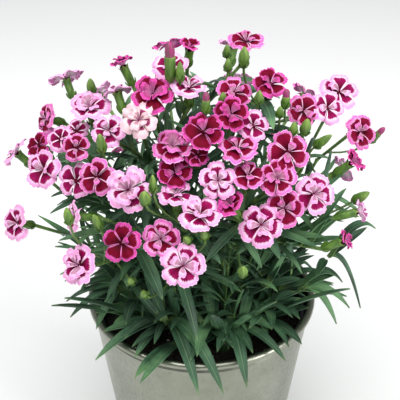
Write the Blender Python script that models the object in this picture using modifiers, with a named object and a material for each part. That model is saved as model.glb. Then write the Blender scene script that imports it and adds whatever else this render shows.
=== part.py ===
"""A potted garden pink (dianthus) in a zinc pot. Units are metres, +Z up.

The origin is the middle of the pot's base. The front of the plant faces -Y.
The plant is laid out from one viewpoint: a bloom, bud or leaf is named by the point of a 400 by 400
picture that it covers, and it lies where the sight line through that point meets the plant's dome.
"""
import math
import random
from collections import namedtuple

import bmesh
import bpy
import numpy as np
from mathutils import Vector
from mathutils.bvhtree import BVHTree

MM = 0.001

# Driving sizes of the pots and the soil
RIM_RADIUS = 80 * MM
POT_HEIGHT = 145 * MM
BASE_RADIUS = 60 * MM
SHEET = 1.3 * MM
BEAD = 2.6 * MM
LINER_TOP = 134 * MM
LINER_TOP_RADIUS = 72.0 * MM
LINER_BASE_RADIUS = 55 * MM
LINER_WALL = 1.2 * MM
SOIL_TOP = 124 * MM
FIT = 0.3 * MM
POT_STEPS = 32
INNER_STEPS = 28

# The viewpoint: where the eye is, how far it looks down, and the picture's focal length and middle
EYE = np.array([-1.1, -470.5, 508.6]) * MM
LOOK_DOWN = math.radians(31.67)
FOCAL = 833.0
MIDDLE = 200.0

# The dome that the blooms lie on
DOME_CENTRE = np.array([0.0, 0.0, 195.0]) * MM
DOME_RADII = np.array([122.0, 105.0, 135.0]) * MM

# Bunches of stems, each with a crown at the soil: its direction, from +X towards +Y, and its distance
# from the middle. The blooms crowd towards the front, and so do the crowns.
Bunch = namedtuple("Bunch", "name direction out")
BUNCHES = (
    Bunch("middle", 270, 2), Bunch("front_left", 250, 40), Bunch("front_right", 290, 40),
    Bunch("left_front", 212, 39), Bunch("right_front", 328, 39), Bunch("left", 172, 38),
    Bunch("right", 8, 38), Bunch("rear_left", 125, 36), Bunch("rear_right", 55, 36),
)
CROWN_RADIUS = 7.5 * MM
CROWN_DEPTH = 12 * MM
CROWN_RISE = 8 * MM
MIDDLE_CONE = math.radians(22)
CROWN_SPOTS = 12
CROWN_MIDDLE = np.array([0.0, 0.0, SOIL_TOP])

# A bloom: five petals round a hub, on a claw that tapers down into the calyx
PETALS = 5
HUB_RADIUS = 2.1 * MM
HUB_THICKNESS = 2.1 * MM
CLAW_TOP = 1.0 * MM
CLAW_TIP = 9.0 * MM
CALYX_MOUTH = 1.5 * MM
CALYX_MOUTH_RADIUS = 2.7 * MM
CALYX_BELLY = 8.0 * MM
CALYX_BELLY_RADIUS = 2.9 * MM
CALYX_NECK = 14.0 * MM
CALYX_NECK_RADIUS = 1.2 * MM
CALYX_FLOOR = 10.2 * MM
BUD_SIDES = 4

# Stems: radii, the sideways sway a stem may take, and the lengths that a side stem may have
STEM_RADIUS = 1.0 * MM
STEM_BASE_RADIUS = 1.2 * MM
SIDE_STEM_RADIUS = 0.65 * MM
STEM_SWAYS = (0, 7, -7, 14, -14)
SIDE_STEM_SHORTEST = 14 * MM
SIDE_STEM_LONGEST = 62 * MM

# The toothed edge of one petal, from notch to last tooth: share of the radius, and height of the wave
OUTER_EDGE = ((0.78, 0.00), (1.00, -0.05), (0.91, 0.03), (0.99, 0.08))
INNER_EDGE = ((1.00, 0.06), (0.60, 0.00), (0.92, 0.08))

# How far petals rise from the flat, in degrees, and the inner petals' share of the radius (0 for none)
Form = namedtuple("Form", "rise inner_rise inner_share")
FORMS = {
    "open": Form(9, 42, 0.56),
    "flat": Form(4, 30, 0.42),
    "full": Form(12, 52, 0.70),
    "plain": Form(11, 0, 0.0),
    "cup": Form(38, 60, 0.80),
    "tulip": Form(50, 0, 0.0),
}

# Blooms: picture point, width across in the picture, bearing (0 towards the eye, 90 to the right),
# lean from upright, form, colour, and how far behind the dome in mm
Bloom = namedtuple("Bloom", "px py width bearing lean form tone behind")
BLOOMS = (
    Bloom(66, 79, 37, -148, 42, "open", "pale", 0),
    Bloom(123, 66, 27, -122, 31, "cup", "magenta", 0),
    Bloom(117, 92, 30, -150, 40, "open", "pale", 4),
    Bloom(47, 119, 34, -55, 62, "open", "pink", 0),
    Bloom(90, 109, 44, -5, 22, "full", "pale", 2.5),
    Bloom(109, 131, 36, -8, 42, "open", "pale", 6),
    Bloom(139, 121, 38, 0, 42, "full", "cream", 0),
    Bloom(17, 153, 34, -97, 46, "open", "pale", 0),
    Bloom(39, 145, 28, -40, 40, "plain", "magenta", 10),
    Bloom(61, 139, 30, -20, 40, "plain", "pale", 7),
    Bloom(77, 131, 28, -10, 30, "plain", "pale", 14),
    Bloom(77, 148, 30, -15, 52, "open", "pink", 0),
    Bloom(44, 170, 42, -32, 55, "open", "pale", 0),
    Bloom(76, 181, 38, -25, 50, "plain", "pale", 9),
    Bloom(97, 177, 39, -8, 55, "open", "pink", 0),
    Bloom(170, 67, 40, -5, 22, "open", "pale", 2),
    Bloom(190, 48, 24, 30, 15, "tulip", "magenta", 0),
    Bloom(153, 95, 44, -5, 30, "full", "magenta", 2),
    Bloom(189, 88, 38, 0, 12, "open", "pale", 4),
    Bloom(173, 148, 44, -8, 22, "full", "pink", 12),
    Bloom(204, 132, 43, 0, 35, "open", "magenta", 0),
    Bloom(197, 156, 26, 0, 35, "plain", "magenta", 10),
    Bloom(246, 42, 38, 10, 14, "open", "pink", 0),
    Bloom(270, 84, 37, 5, 26, "open", "magenta", 0),
    Bloom(234, 93, 38, 5, 30, "open", "pink", 9),
    Bloom(231, 114, 38, 0, 42, "full", "magenta", 0),
    Bloom(253, 126, 34, 5, 45, "open", "pale", 4),
    Bloom(339, 92, 42, 22, 30, "open", "pale", 8),
    Bloom(327, 108, 36, 18, 52, "open", "pale", -3),
    Bloom(303, 111, 36, 5, 48, "open", "pink", 8),
    Bloom(360, 132, 36, 27, 56, "open", "pink", 0),
    Bloom(351, 163, 30, 83, 45, "cup", "magenta", 0),
    Bloom(288, 152, 44, 5, 50, "open", "pink", 0),
    Bloom(238, 149, 42, 0, 12, "open", "pink", 1.5),
    Bloom(218, 181, 40, -3, 48, "full", "pale", 3.5),
    Bloom(248, 176, 36, 5, 25, "open", "pink", 1.5),
    Bloom(232, 206, 32, -47, 30, "cup", "magenta", 4),
    Bloom(277, 179, 40, 6, 42, "full", "pink", 0),
    Bloom(284, 208, 42, 5, 58, "open", "pink", 3.5),
    Bloom(261, 225, 46, -8, 55, "full", "pale", 5.5),
    Bloom(313, 194, 46, 18, 55, "full", "pale", 0),
    Bloom(357, 212, 26, 95, 76, "cup", "pale", 0),
    Bloom(343, 241, 24, 83, 62, "cup", "magenta", 0),
    Bloom(18, 223, 38, -50, 60, "open", "pale", 0),
    Bloom(75, 217, 36, -72, 78, "open", "pale", 4),
    Bloom(80, 265, 44, -38, 60, "full", "pale", 0),
    Bloom(122, 243, 41, -8, 55, "flat", "magenta", 0),
    Bloom(161, 239, 39, -4, 52, "full", "pink", 4.5),
    Bloom(183, 266, 47, 0, 52, "full", "pale", 0),
    Bloom(129, 190, 49, -8, 57, "full", "pale", 0),
    Bloom(175, 173, 38, -4, 31, "open", "magenta", 12.5),
    Bloom(176, 196, 38, -4, 8, "open", "pale", 8.5),
    Bloom(200, 216, 46, -2, 22, "full", "pale", 0),
)

# Blooms on the far side follow a rule: rows of the dome, with how many each holds and its lean
FarRow = namedtuple("FarRow", "height count spread lean")
FAR_ROWS = (FarRow(8, 5, 75, 72), FarRow(34, 4, 62, 55), FarRow(58, 2, 40, 32))
FAR_WIDTH = 23 * MM

# Closed buds: picture point of the middle, length and width in mm, bearing, lean, mm behind the dome
Bud = namedtuple("Bud", "px py length width bearing lean behind")
BUDS = (
    Bud(206, 103, 14, 4.6, 0, 5, -6), Bud(286, 99, 13, 4.6, 10, 6, -5),
    Bud(298, 165, 13, 5.0, 10, 5, -6), Bud(377, 135, 15, 4.4, 70, 35, 0), Bud(91, 86, 11, 5.5, -10, 10, 0),
    Bud(101, 143, 14, 5.8, -10, 15, -7), Bud(244, 57, 14, 6.5, 0, 8, -6),
    Bud(227, 51, 9, 4.5, 0, 8, 0), Bud(228, 65, 9, 4.5, 0, 10, 0), Bud(259, 97, 9, 5.0, 5, 10, -4),
    Bud(306, 127, 13, 6.2, 15, 20, -7), Bud(294, 128, 9, 4.6, 0, 10, -5), Bud(280, 112, 8, 4.4, 0, 10, 0),
    Bud(323, 141, 14, 5.2, 70, 45, 2), Bud(97, 222, 15, 5.0, -25, 25, 0), Bud(68, 216, 12, 5.4, -50, 5, -13),
    Bud(145, 198, 12, 7.0, 0, 25, -8), Bud(153, 184, 13, 4.2, 0, 8, -5), Bud(187, 240, 9, 4.8, -10, 45, 0),
    Bud(204, 235, 11, 4.8, -15, 35, 0), Bud(361, 197, 14, 6.0, 60, 45, 0),
    Bud(131, 281, 6, 4.6, -20, 35, 14),
    Bud(144, 294, 6, 4.6, -20, 35, 16), Bud(243, 271, 9, 6.0, -5, 20, 10), Bud(223, 98, 8, 4.4, 0, 8, 0),
)

# Young shoots with no bloom: picture point and height of the top in mm
Shoot = namedtuple("Shoot", "px py height")
SHOOTS = {
    "right of middle": Shoot(235.5, 312, 158),
    "left of middle": Shoot(169, 317, 157),
    "low left": Shoot(191, 314, 152),
    "grey left": Shoot(133, 300, 165),
    "far left": Shoot(117, 285, 171),
    "low right": Shoot(272, 315, 152),
    "far right": Shoot(305, 286, 173),
    "grey right": Shoot(268, 283, 182),
    "high right": Shoot(332, 254, 197),
}

# Leaves of those shoots: picture point and height of the tip, width and rise of the arch in mm
Leaf = namedtuple("Leaf", "shoot px py height width arch")
LEAVES = (
    Leaf("right of middle", 216, 280, 180, 6.5, 3), Leaf("right of middle", 216, 318, 161, 6.0, 3),
    Leaf("right of middle", 217, 352, 151, 7.5, 5), Leaf("right of middle", 243, 289, 178, 5.5, 3),
    Leaf("right of middle", 257, 319, 159, 5.5, 3), Leaf("right of middle", 272, 329, 154, 8.0, 6),
    Leaf("right of middle", 301, 294, 166, 8.0, 5), Leaf("right of middle", 247, 388, 138, 8.5, 12),
    Leaf("right of middle", 253, 353, 151, 7.5, 6), Leaf("right of middle", 286, 361, 146, 7.0, 10),
    Leaf("right of middle", 202, 346, 151, 8.0, 4), Leaf("right of middle", 193, 300, 166, 7.0, 2),
    Leaf("left of middle", 224, 394, 135, 9.0, 14), Leaf("left of middle", 199, 395, 134, 8.5, 12),
    Leaf("left of middle", 95, 360, 142, 9.0, 8), Leaf("left of middle", 103, 335, 152, 8.0, 5),
    Leaf("left of middle", 154, 344, 152, 5.0, 3), Leaf("left of middle", 135, 357, 145, 7.0, 6),
    Leaf("left of middle", 131, 270, 186, 6.0, 2), Leaf("low left", 201, 346, 150, 7.5, 3),
    Leaf("low left", 183, 347, 151, 6.5, 3), Leaf("low left", 205, 292, 172, 6.5, 3),
    Leaf("grey left", 96, 312, 159, 8.0, 4), Leaf("grey left", 118, 268, 188, 6.5, 2),
    Leaf("grey left", 113, 325, 153, 7.0, 4), Leaf("far left", 66, 301, 161, 6.5, 5),
    Leaf("far left", 70, 317, 154, 7.0, 6), Leaf("far left", 96, 329, 152, 6.0, 4),
    Leaf("far left", 113, 301, 166, 6.0, 3), Leaf("far left", 99, 268, 184, 6.0, 2),
    Leaf("low right", 289, 347, 149, 5.5, 6), Leaf("low right", 302, 344, 147, 7.5, 7),
    Leaf("low right", 268, 341, 151, 4.5, 3), Leaf("low right", 309, 311, 156, 8.0, 3),
    Leaf("far right", 337, 324, 149, 8.5, 9), Leaf("far right", 350, 308, 157, 7.0, 8),
    Leaf("far right", 347, 300, 163, 7.0, 4), Leaf("far right", 343, 282, 173, 7.0, 3),
    Leaf("far right", 334, 275, 179, 7.0, 3), Leaf("far right", 276, 300, 169, 6.5, 2),
    Leaf("grey right", 282, 258, 198, 8.0, 3), Leaf("grey right", 247, 296, 172, 8.0, 2),
    Leaf("grey right", 300, 278, 182, 6.5, 2), Leaf("grey right", 240, 262, 196, 6.0, 2),
    Leaf("high right", 361, 308, 154, 9.5, 12), Leaf("high right", 379, 228, 212, 9.0, 3),
    Leaf("high right", 370, 227, 206, 6.0, 2), Leaf("high right", 316, 276, 182, 7.0, 3),
)

# Leaves among the blooms: base and tip in the picture, mm behind the dome, width
DomeLeaf = namedtuple("DomeLeaf", "base_px base_py tip_px tip_py base_behind tip_behind width")
DOME_LEAVES = (
    DomeLeaf(318, 172, 331, 149, 12, 2, 5.5), DomeLeaf(298, 224, 280, 259, 14, 8, 7.0),
    DomeLeaf(211, 228, 221, 264, 12, 10, 6.0), DomeLeaf(247, 112, 273, 131, 8, -4, 7.0),
    DomeLeaf(336, 222, 346, 188, 8, 4, 6.0), DomeLeaf(75, 202, 51, 196, 12, 4, 5.0),
    DomeLeaf(72, 222, 50, 213, 12, 4, 5.0), DomeLeaf(85, 232, 59, 240, 14, 5, 6.0),
    DomeLeaf(80, 243, 55, 246, 14, 6, 4.5), DomeLeaf(84, 252, 60, 274, 16, 6, 5.0),
    DomeLeaf(352, 190, 345, 172, 6, 2, 5.0), DomeLeaf(150, 262, 163, 300, 14, 8, 8.5),
    DomeLeaf(120, 262, 96, 246, 16, 8, 6.0), DomeLeaf(140, 262, 139, 226, 18, 10, 6.0),
    DomeLeaf(215, 240, 205, 262, 14, 12, 5.5), DomeLeaf(243, 248, 262, 268, 14, 10, 6.0),
    DomeLeaf(290, 240, 318, 247, 14, 8, 7.0), DomeLeaf(300, 236, 333, 216, 14, 6, 6.0),
    DomeLeaf(315, 222, 325, 205, 14, 8, 6.0), DomeLeaf(150, 118, 159, 137, 10, 4, 5.0),
    DomeLeaf(96, 204, 84, 190, 14, 8, 5.0), DomeLeaf(305, 246, 330, 196, 16, 6, 5.5),
    DomeLeaf(318, 244, 352, 205, 12, 5, 5.0), DomeLeaf(296, 262, 325, 236, 14, 8, 6.5),
    DomeLeaf(310, 262, 345, 236, 12, 6, 6.0),
)

# Leaf pairs up the stems and leaves from the crowns on all sides follow a rule with a seeded draw.
# Lengths, widths, reaches and drops are in mm, leans in degrees from upright.
SEED = 11
STEM_LEAF_PLACES = (0.36, 0.60)
STEM_LEAF_SHARE = 0.13
STEM_LEAF_LENGTHS = (34, 52)
STEM_LEAF_WIDTHS = (4.5, 7.0)
SKIRT_COUNT = 30
SKIRT_REACHES = (70, 98)
SKIRT_DROPS = (-12, 10)
SKIRT_WIDTHS = (5.5, 8.5)
TUFT_LEAVES = 4
TUFT_LEANS = (14, 62)
TUFT_LENGTHS = (62, 104)
TUFT_WIDTHS = (6.0, 8.5)
LEAF_THICKNESS = 1.3 * MM
LEAF_STATIONS = ((0.0, 0.12), (0.30, 1.0), (0.66, 0.80))
SMALL_LEAF_STATIONS = ((0.0, 0.14), (0.42, 1.0))
CLEARANCE = 0.45 * MM
FLAT_ANGLE = 0.1
WELD = 0.001 * MM

TONES = {
    "magenta": (0.62, 0.07, 0.33),
    "pink": (0.80, 0.27, 0.55),
    "pale": (0.90, 0.55, 0.76),
    "cream": (0.92, 0.72, 0.72),
}


def unit(vector):
    return vector / np.linalg.norm(vector)


def sight_line(px, py):
    """The direction in which a point of the picture is seen."""
    forward = np.array([0.0, math.cos(LOOK_DOWN), -math.sin(LOOK_DOWN)])
    up = np.array([0.0, math.sin(LOOK_DOWN), math.cos(LOOK_DOWN)])
    across = np.array([px - MIDDLE, 0.0, 0.0])
    return unit(FOCAL * forward + across - (py - MIDDLE) * up)


def on_dome(px, py, behind=0.0):
    """Where a sight line meets the dome, or passes it closest, moved back by some millimetres."""
    ray = sight_line(px, py)
    start = (EYE - DOME_CENTRE) / DOME_RADII
    step = ray / DOME_RADII
    a = step @ step
    b = start @ step
    c = start @ start - 1.0
    reach = (-b - math.sqrt(max(b * b - a * c, 0.0))) / a
    return EYE + ray * (reach + behind * MM)


def at_height(px, py, height):
    """Where a sight line comes down to a height given in millimetres."""
    ray = sight_line(px, py)
    return EYE + ray * ((height * MM - EYE[2]) / ray[2])


def facing(bearing, lean):
    turn = math.radians(bearing)
    tilt = math.radians(lean)
    return np.array([math.sin(tilt) * math.sin(turn), -math.sin(tilt) * math.cos(turn), math.cos(tilt)])


def square_to(axis, turn=0.0):
    """Two directions square to an axis and to each other, turned about it by some degrees."""
    guide = np.array([0.0, 1.0, 0.0]) if abs(axis[2]) > 0.9 else np.array([0.0, 0.0, 1.0])
    first = unit(np.cross(guide, axis))
    second = np.cross(axis, first)
    c = math.cos(math.radians(turn))
    s = math.sin(math.radians(turn))
    return first * c + second * s, second * c - first * s


def ring(centre, x, y, radius, count, start=0.0):
    """Points on a circle, from a starting angle in degrees."""
    angles = [math.radians(start + 360.0 * k / count) for k in range(count)]
    return [centre + (x * math.cos(a) + y * math.sin(a)) * radius for a in angles]


def loft(rings):
    """Triangles between rings, where one ring of a pair may have a few times the other's points."""
    points = [point for one in rings for point in one]
    faces = []
    start = 0
    for low, high in zip(rings, rings[1:]):
        above = start + len(low)
        count = max(len(low), len(high))
        for i in range(count):
            j = (i + 1) % count
            a = start + round(i * len(low) / count) % len(low)
            b = start + round(j * len(low) / count) % len(low)
            c = above + round(i * len(high) / count) % len(high)
            d = above + round(j * len(high) / count) % len(high)
            if a != b:
                faces.append((a, b, d))
            if c != d:
                faces.append((a, d, c))
        start = above
    for k in range(1, len(rings[0]) - 1):
        faces.append((0, k + 1, k))
    for k in range(1, len(rings[-1]) - 1):
        faces.append((start, start + k, start + k + 1))
    return points, faces


def bezier(control, t):
    points = [np.array(p) for p in control]
    while len(points) > 1:
        points = [a * (1 - t) + b * t for a, b in zip(points, points[1:])]
    return points[0]


# A flower head with its place and its own directions worked out
Head = namedtuple("Head", "name centre axis x y radius form tone bunch")


def crown_place(index):
    """The middle of a bunch's crown at the soil's surface."""
    bunch = BUNCHES[index]
    turn = math.radians(bunch.direction)
    return np.array([bunch.out * MM * math.cos(turn), bunch.out * MM * math.sin(turn), SOIL_TOP])


def bunch_of(point):
    """The bunch of stems that reaches a point: the middle one near the axis, else by direction."""
    out = math.hypot(point[0], point[1])
    if math.atan2(out, point[2] - SOIL_TOP) < MIDDLE_CONE:
        return 0
    turn = math.degrees(math.atan2(point[1], point[0]))
    gaps = [abs((bunch.direction - turn + 180) % 360 - 180) for bunch in BUNCHES[1:]]
    return 1 + gaps.index(min(gaps))


def make_head(number, centre, axis, radius, form, tone):
    x, y = square_to(axis, 137.5 * number)
    below = centre - axis * CALYX_NECK
    return Head(f"bloom_{number:02d}", centre, axis, x, y, radius, FORMS[form], tone, bunch_of(below))


def front_heads():
    heads = []
    for number, row in enumerate(BLOOMS, 1):
        centre = on_dome(row.px, row.py, row.behind)
        distance = np.linalg.norm(centre - EYE)
        radius = 0.5 * row.width * distance / FOCAL
        heads.append(make_head(number, centre, facing(row.bearing, row.lean), radius, row.form, row.tone))
    return heads


def far_heads(first):
    heads = []
    tones = ("pale", "pink", "pale", "magenta")
    for level, row in enumerate(FAR_ROWS):
        for k in range(row.count):
            share = (k + 0.5) / row.count * 2 - 1
            bearing = 180.0 + share * row.spread
            outward = facing(bearing, 90 - row.height)
            centre = DOME_CENTRE + outward * DOME_RADII * 0.97
            number = first + len(heads)
            tone = tones[(k + level) % len(tones)]
            heads.append(make_head(number, centre, facing(bearing, row.lean), FAR_WIDTH / 2, "plain", tone))
    return heads


def petal_ring(head, edge, radius, rise, base):
    """The toothed edge of a whorl of petals that rise by an angle from a base height."""
    c = math.cos(math.radians(rise))
    s = math.sin(math.radians(rise))
    points = []
    steps = len(edge) * PETALS
    for k in range(steps):
        share, wave = edge[k % len(edge)]
        turn = 2 * math.pi * k / steps
        out = radius * (share * c - wave * s)
        up = radius * (share * s + wave * c)
        side = head.x * math.cos(turn) + head.y * math.sin(turn)
        points.append(head.centre + side * out + head.axis * (up + base))
    return points


def bloom_shape(head):
    """A corolla as one closed skin: claw, under side, toothed edge, upper side and inner petals."""
    form = head.form
    tilt = math.radians(form.rise)
    waist_radius = max(HUB_RADIUS - HUB_THICKNESS * math.sin(tilt), 0.7 * MM)
    waist = -CLAW_TOP + HUB_THICKNESS * math.cos(tilt)
    rings = [
        [head.centre - head.axis * CLAW_TIP],
        ring(head.centre - head.axis * CLAW_TOP, head.x, head.y, HUB_RADIUS, PETALS),
        petal_ring(head, OUTER_EDGE, head.radius, form.rise, 0.0),
        ring(head.centre + head.axis * waist, head.x, head.y, waist_radius, PETALS),
    ]
    if form.inner_share:
        inner = head.radius * form.inner_share
        rings.append(petal_ring(head, INNER_EDGE, inner, form.inner_rise, waist))
        waist += 0.9 * MM
    else:
        waist += 0.3 * MM
    rings.append([head.centre + head.axis * waist])
    return loft(rings)


def stem_line(path, is_side_stem):
    """The few points that a stem's line is built through."""
    places = (0.0, 0.5, 1.0) if is_side_stem else (0.0, 0.38, 0.72, 1.0)
    return [bezier(path, t) for t in places]


def along_line(line, share):
    """The point at a share of a line's length, and the direction of the line there."""
    lengths = [float(np.linalg.norm(b - a)) for a, b in zip(line, line[1:])]
    left = share * sum(lengths)
    for a, b, length in zip(line, line[1:], lengths):
        if left <= length:
            break
        left -= length
    return a + (b - a) * min(left / length, 1.0), (b - a) / length


def rings_along(points, radii, x, y, sides):
    """Rings square to a path, carried back from given directions at its far end."""
    rings = []
    for k in range(len(points) - 1, -1, -1):
        ahead = points[min(k + 1, len(points) - 1)] - points[max(k - 1, 0)]
        ahead = unit(ahead)
        if k < len(points) - 1:
            x = unit(x - ahead * (x @ ahead))
            y = np.cross(ahead, x)
        rings.append(ring(points[k], x, y, radii[k], sides))
    return rings[::-1]


def stem_shape(head, path, is_side_stem):
    """A stem with the calyx at its end, hollowed for the bloom's claw."""
    points = stem_line(path, is_side_stem)[:-1]
    radii = [SIDE_STEM_RADIUS, STEM_RADIUS] if is_side_stem else [STEM_BASE_RADIUS, STEM_RADIUS, STEM_RADIUS]
    lengths = (CALYX_NECK, CALYX_BELLY, CALYX_MOUTH)
    points += [head.centre - head.axis * length for length in lengths]
    radii += [CALYX_NECK_RADIUS, CALYX_BELLY_RADIUS, CALYX_MOUTH_RADIUS]
    rings = rings_along(points, radii, head.x, head.y, PETALS)
    rings.append([head.centre - head.axis * CALYX_FLOOR])
    return loft(rings)


def bud_shape(path, axis, length, width, extra=0.0):
    """A closed bud on its side stem, pointed at the tip."""
    end = bezier(path, 1.0)
    points = [bezier(path, 0.0), bezier(path, 0.55), end, end + axis * length * 0.42]
    radii = [SIDE_STEM_RADIUS, 0.8 * MM, 1.0 * MM, width / 2]
    radii = [radius + extra for radius in radii]
    x, y = square_to(axis)
    rings = rings_along(points, radii, x, y, BUD_SIDES)
    rings.append([end + axis * length])
    return loft(rings)


def shoot_shape(path, extra=0.0):
    """A short leafy shoot's stem."""
    points = [bezier(path, t) for t in (0.0, 0.5, 1.0)]
    axis = unit(points[2] - points[1])
    x, y = square_to(axis)
    radii = [STEM_BASE_RADIUS + extra, STEM_RADIUS + extra, STEM_BASE_RADIUS + extra]
    return loft(rings_along(points, radii, x, y, 4))


def leaf_path(base, tip, arch):
    """A leaf's line: from its root to its tip, arched upwards."""
    middle = (base + tip) / 2 + np.array([0.0, 0.0, 2.0 * arch])
    return base, middle, tip


def leaf_shape(path, width, stations, extra=0.0):
    """A keeled blade: flat above, deepest along the middle, widest a third of the way up."""
    base, _, tip = path
    along = tip - base
    level = np.array([along[0], along[1], 0.0])
    if np.linalg.norm(level) < 0.25 * np.linalg.norm(along):
        level = np.array([base[0], base[1], 0.0]) + np.array([0.0, -0.001, 0.0])
    side = unit(np.cross(level, np.array([0.0, 0.0, 1.0])))
    rings = []
    for t, share in stations:
        centre = bezier(path, t)
        ahead = unit(bezier(path, t + 0.02) - centre)
        across = unit(side - ahead * (side @ ahead))
        up = np.cross(across, ahead)
        half = across * (width * share / 2 + extra)
        keel = centre - up * (LEAF_THICKNESS * share + extra)
        rings.append([centre + half + up * extra, keel, centre - half + up * extra])
    rings.append([tip])
    return loft(rings)


Solid = namedtuple("Solid", "points faces bunch low high tree")

# A stem that others can grow from: the points of its line, its bunch, its place among the green solids
Stem = namedtuple("Stem", "line bunch index")

# A way for a new stem: its curve, its bunch, the green solid it grows from, and whether that is a stem
Way = namedtuple("Way", "path bunch host from_stem")


def solid_of(shape, bunch):
    points, faces = shape
    array = np.array(points)
    tree = BVHTree.FromPolygons([Vector(p) for p in points], faces)
    return Solid(points, faces, bunch, array.min(axis=0), array.max(axis=0), tree)


def crosses(solid, other):
    if (solid.low > other.high).any() or (other.low > solid.high).any():
        return False
    return bool(solid.tree.overlap(other.tree))


def clears_pot(points):
    """True where nothing reaches into the rim, the inner pot or the soil."""
    for x, y, z in points:
        out = math.hypot(x, y)
        if out < RIM_RADIUS - 8 * MM and z < SOIL_TOP + 3 * MM:
            return False
        if RIM_RADIUS - 8 * MM <= out < RIM_RADIUS + 2.5 * MM and z < POT_HEIGHT + 1.5 * MM:
            return False
    return True


class Plant:
    """Everything green and every bloom, placed one by one so that no two nodes cross."""

    def __init__(self):
        self.heads = front_heads()
        self.heads += far_heads(len(self.heads) + 1)
        self.blooms = [solid_of(bloom_shape(head), -1) for head in self.heads]
        self.greens = []
        self.stems = []
        self.shoots = {}

    def is_clear(self, solid, hosts, strict=True):
        """True where a solid crosses no bloom and no green but its hosts, or but its whole bunch."""
        if any(crosses(solid, bloom) for bloom in self.blooms):
            return False
        for index, green in enumerate(self.greens):
            if index in hosts or (green.bunch == solid.bunch and not strict):
                continue
            if crosses(solid, green):
                return False
        return True

    def keep(self, shape, bunch):
        self.greens.append(solid_of(shape, bunch))
        return len(self.greens) - 1

    def add_crowns(self):
        for index in range(len(BUNCHES)):
            self.keep(crown_shape(crown_place(index), 0.0), index)

    def crown_paths(self, head):
        """Ways from the crowns near a bloom, up and outwards, and into the back of its calyx."""
        end = head.centre - head.axis * CALYX_NECK
        order = sorted(range(len(BUNCHES)), key=lambda k: crown_gap(head, k))
        order = [head.bunch] + [k for k in order[:3] if k != head.bunch]
        for bunch in order:
            for sway in STEM_SWAYS:
                for spot in range(CROWN_SPOTS):
                    start = crown_spot(bunch, spot)
                    across = end - start
                    height = max(across[2], 20 * MM)
                    side = unit(np.cross(across, np.array([1e-6, 0.0, 1.0])))
                    lift = np.array([across[0] * 0.22, across[1] * 0.22, 0.5 * height])
                    behind = end - head.axis * (0.30 * np.linalg.norm(across))
                    path = (start, start + lift + side * sway * MM, behind, end)
                    yield Way(path, bunch, bunch, False)

    def branch_paths(self, head):
        """Ways from the stems near a bloom into the back of its calyx."""
        end = head.centre - head.axis * CALYX_NECK
        wanted = end - np.array([0.0, 0.0, 22 * MM]) - (end - CROWN_MIDDLE) * 0.12
        for stem, t in self.nearest_stems(wanted)[:14]:
            start, along = along_line(stem.line, t)
            length = np.linalg.norm(end - start)
            if SIDE_STEM_SHORTEST < length < SIDE_STEM_LONGEST:
                path = (start, start + along * 0.35 * length, end - head.axis * 0.35 * length, end)
                yield Way(path, stem.bunch, stem.index, True)

    def add_stems(self):
        """Outer and upper blooms get a stem from a crown, the rest a side stem where one fits."""
        order = sorted(self.heads, key=lambda head: -np.linalg.norm(head.centre - CROWN_MIDDLE))
        for rank, head in enumerate(order):
            ways = list(self.crown_paths(head))
            branches = list(self.branch_paths(head))
            own = [way for way in branches if way.bunch == head.bunch]
            ways = own + ways + branches if rank % 3 else ways + branches
            if not self.try_stem(head, ways, True):
                self.try_stem(head, ways, False)

    def try_stem(self, head, ways, strict):
        """Keeps the first of some ways for a bloom's stem that crosses nothing."""
        for way in ways:
            shape = stem_shape(head, way.path, way.from_stem)
            if self.is_clear(solid_of(shape, way.bunch), (way.host,), strict):
                index = self.keep(shape, way.bunch)
                self.stems.append(Stem(stem_line(way.path, way.from_stem), way.bunch, index))
                return True
        return False

    def nearest_stems(self, point, places=(0.35, 0.45, 0.55, 0.65, 0.75, 0.85)):
        """Stems and the places along them, nearest to a point first."""
        found = []
        for number, stem in enumerate(self.stems):
            for t in places:
                found.append((float(np.linalg.norm(along_line(stem.line, t)[0] - point)), number, t))
        found.sort()
        return [(self.stems[number], t) for _, number, t in found]

    def bud_ways(self, row):
        """Places for a bud, nearer or farther along its sight line, each with a stem to grow from."""
        axis = facing(row.bearing, row.lean)
        for shift in (0, 2, -2, 4, -4, 7, 10):
            end = on_dome(row.px, row.py, row.behind + shift) - axis * row.length * 0.5 * MM
            for stem, t in self.nearest_stems(end - np.array([0.0, 0.0, 18 * MM]))[:16]:
                root = along_line(stem.line, t)[0]
                yield stem, axis, (root, end - axis * 0.4 * np.linalg.norm(end - root), end)

    def add_buds(self):
        for row in BUDS:
            length = row.length * MM
            width = row.width * MM
            for stem, axis, path in self.bud_ways(row):
                shape = bud_shape(path, axis, length, width, 0.15 * MM)
                if self.is_clear(solid_of(shape, stem.bunch), (stem.index,)):
                    self.keep(bud_shape(path, axis, length, width), stem.bunch)
                    break

    def add_shoots(self):
        for name, row in SHOOTS.items():
            top = at_height(row.px, row.py, row.height)
            order = sorted(range(len(BUNCHES)), key=lambda k: np.linalg.norm(crown_place(k) - top))
            ways = [(bunch, spot, strict) for strict in (True, False) for bunch in order[:3]
                    for spot in range(CROWN_SPOTS)]
            for bunch, spot, strict in ways:
                start = crown_spot(bunch, spot)
                path = (start, (start + top) / 2 + np.array([0.0, 0.0, 6 * MM]), top)
                if self.is_clear(solid_of(shoot_shape(path, 0.1 * MM), bunch), (bunch,), strict):
                    index = self.keep(shoot_shape(path), bunch)
                    self.shoots[name] = Stem([bezier(path, t) for t in (0.0, 0.5, 1.0)], bunch, index)
                    break

    def hides_bloom(self, path):
        """True where the eye sees a bloom of the front behind a leaf."""
        for t in (0.5, 0.75, 1.0):
            point = bezier(path, t)
            ray = Vector(unit(point - EYE))
            if any(bloom.tree.ray_cast(Vector(point), ray)[0] for bloom in self.blooms[:len(BLOOMS)]):
                return True
        return False

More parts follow.
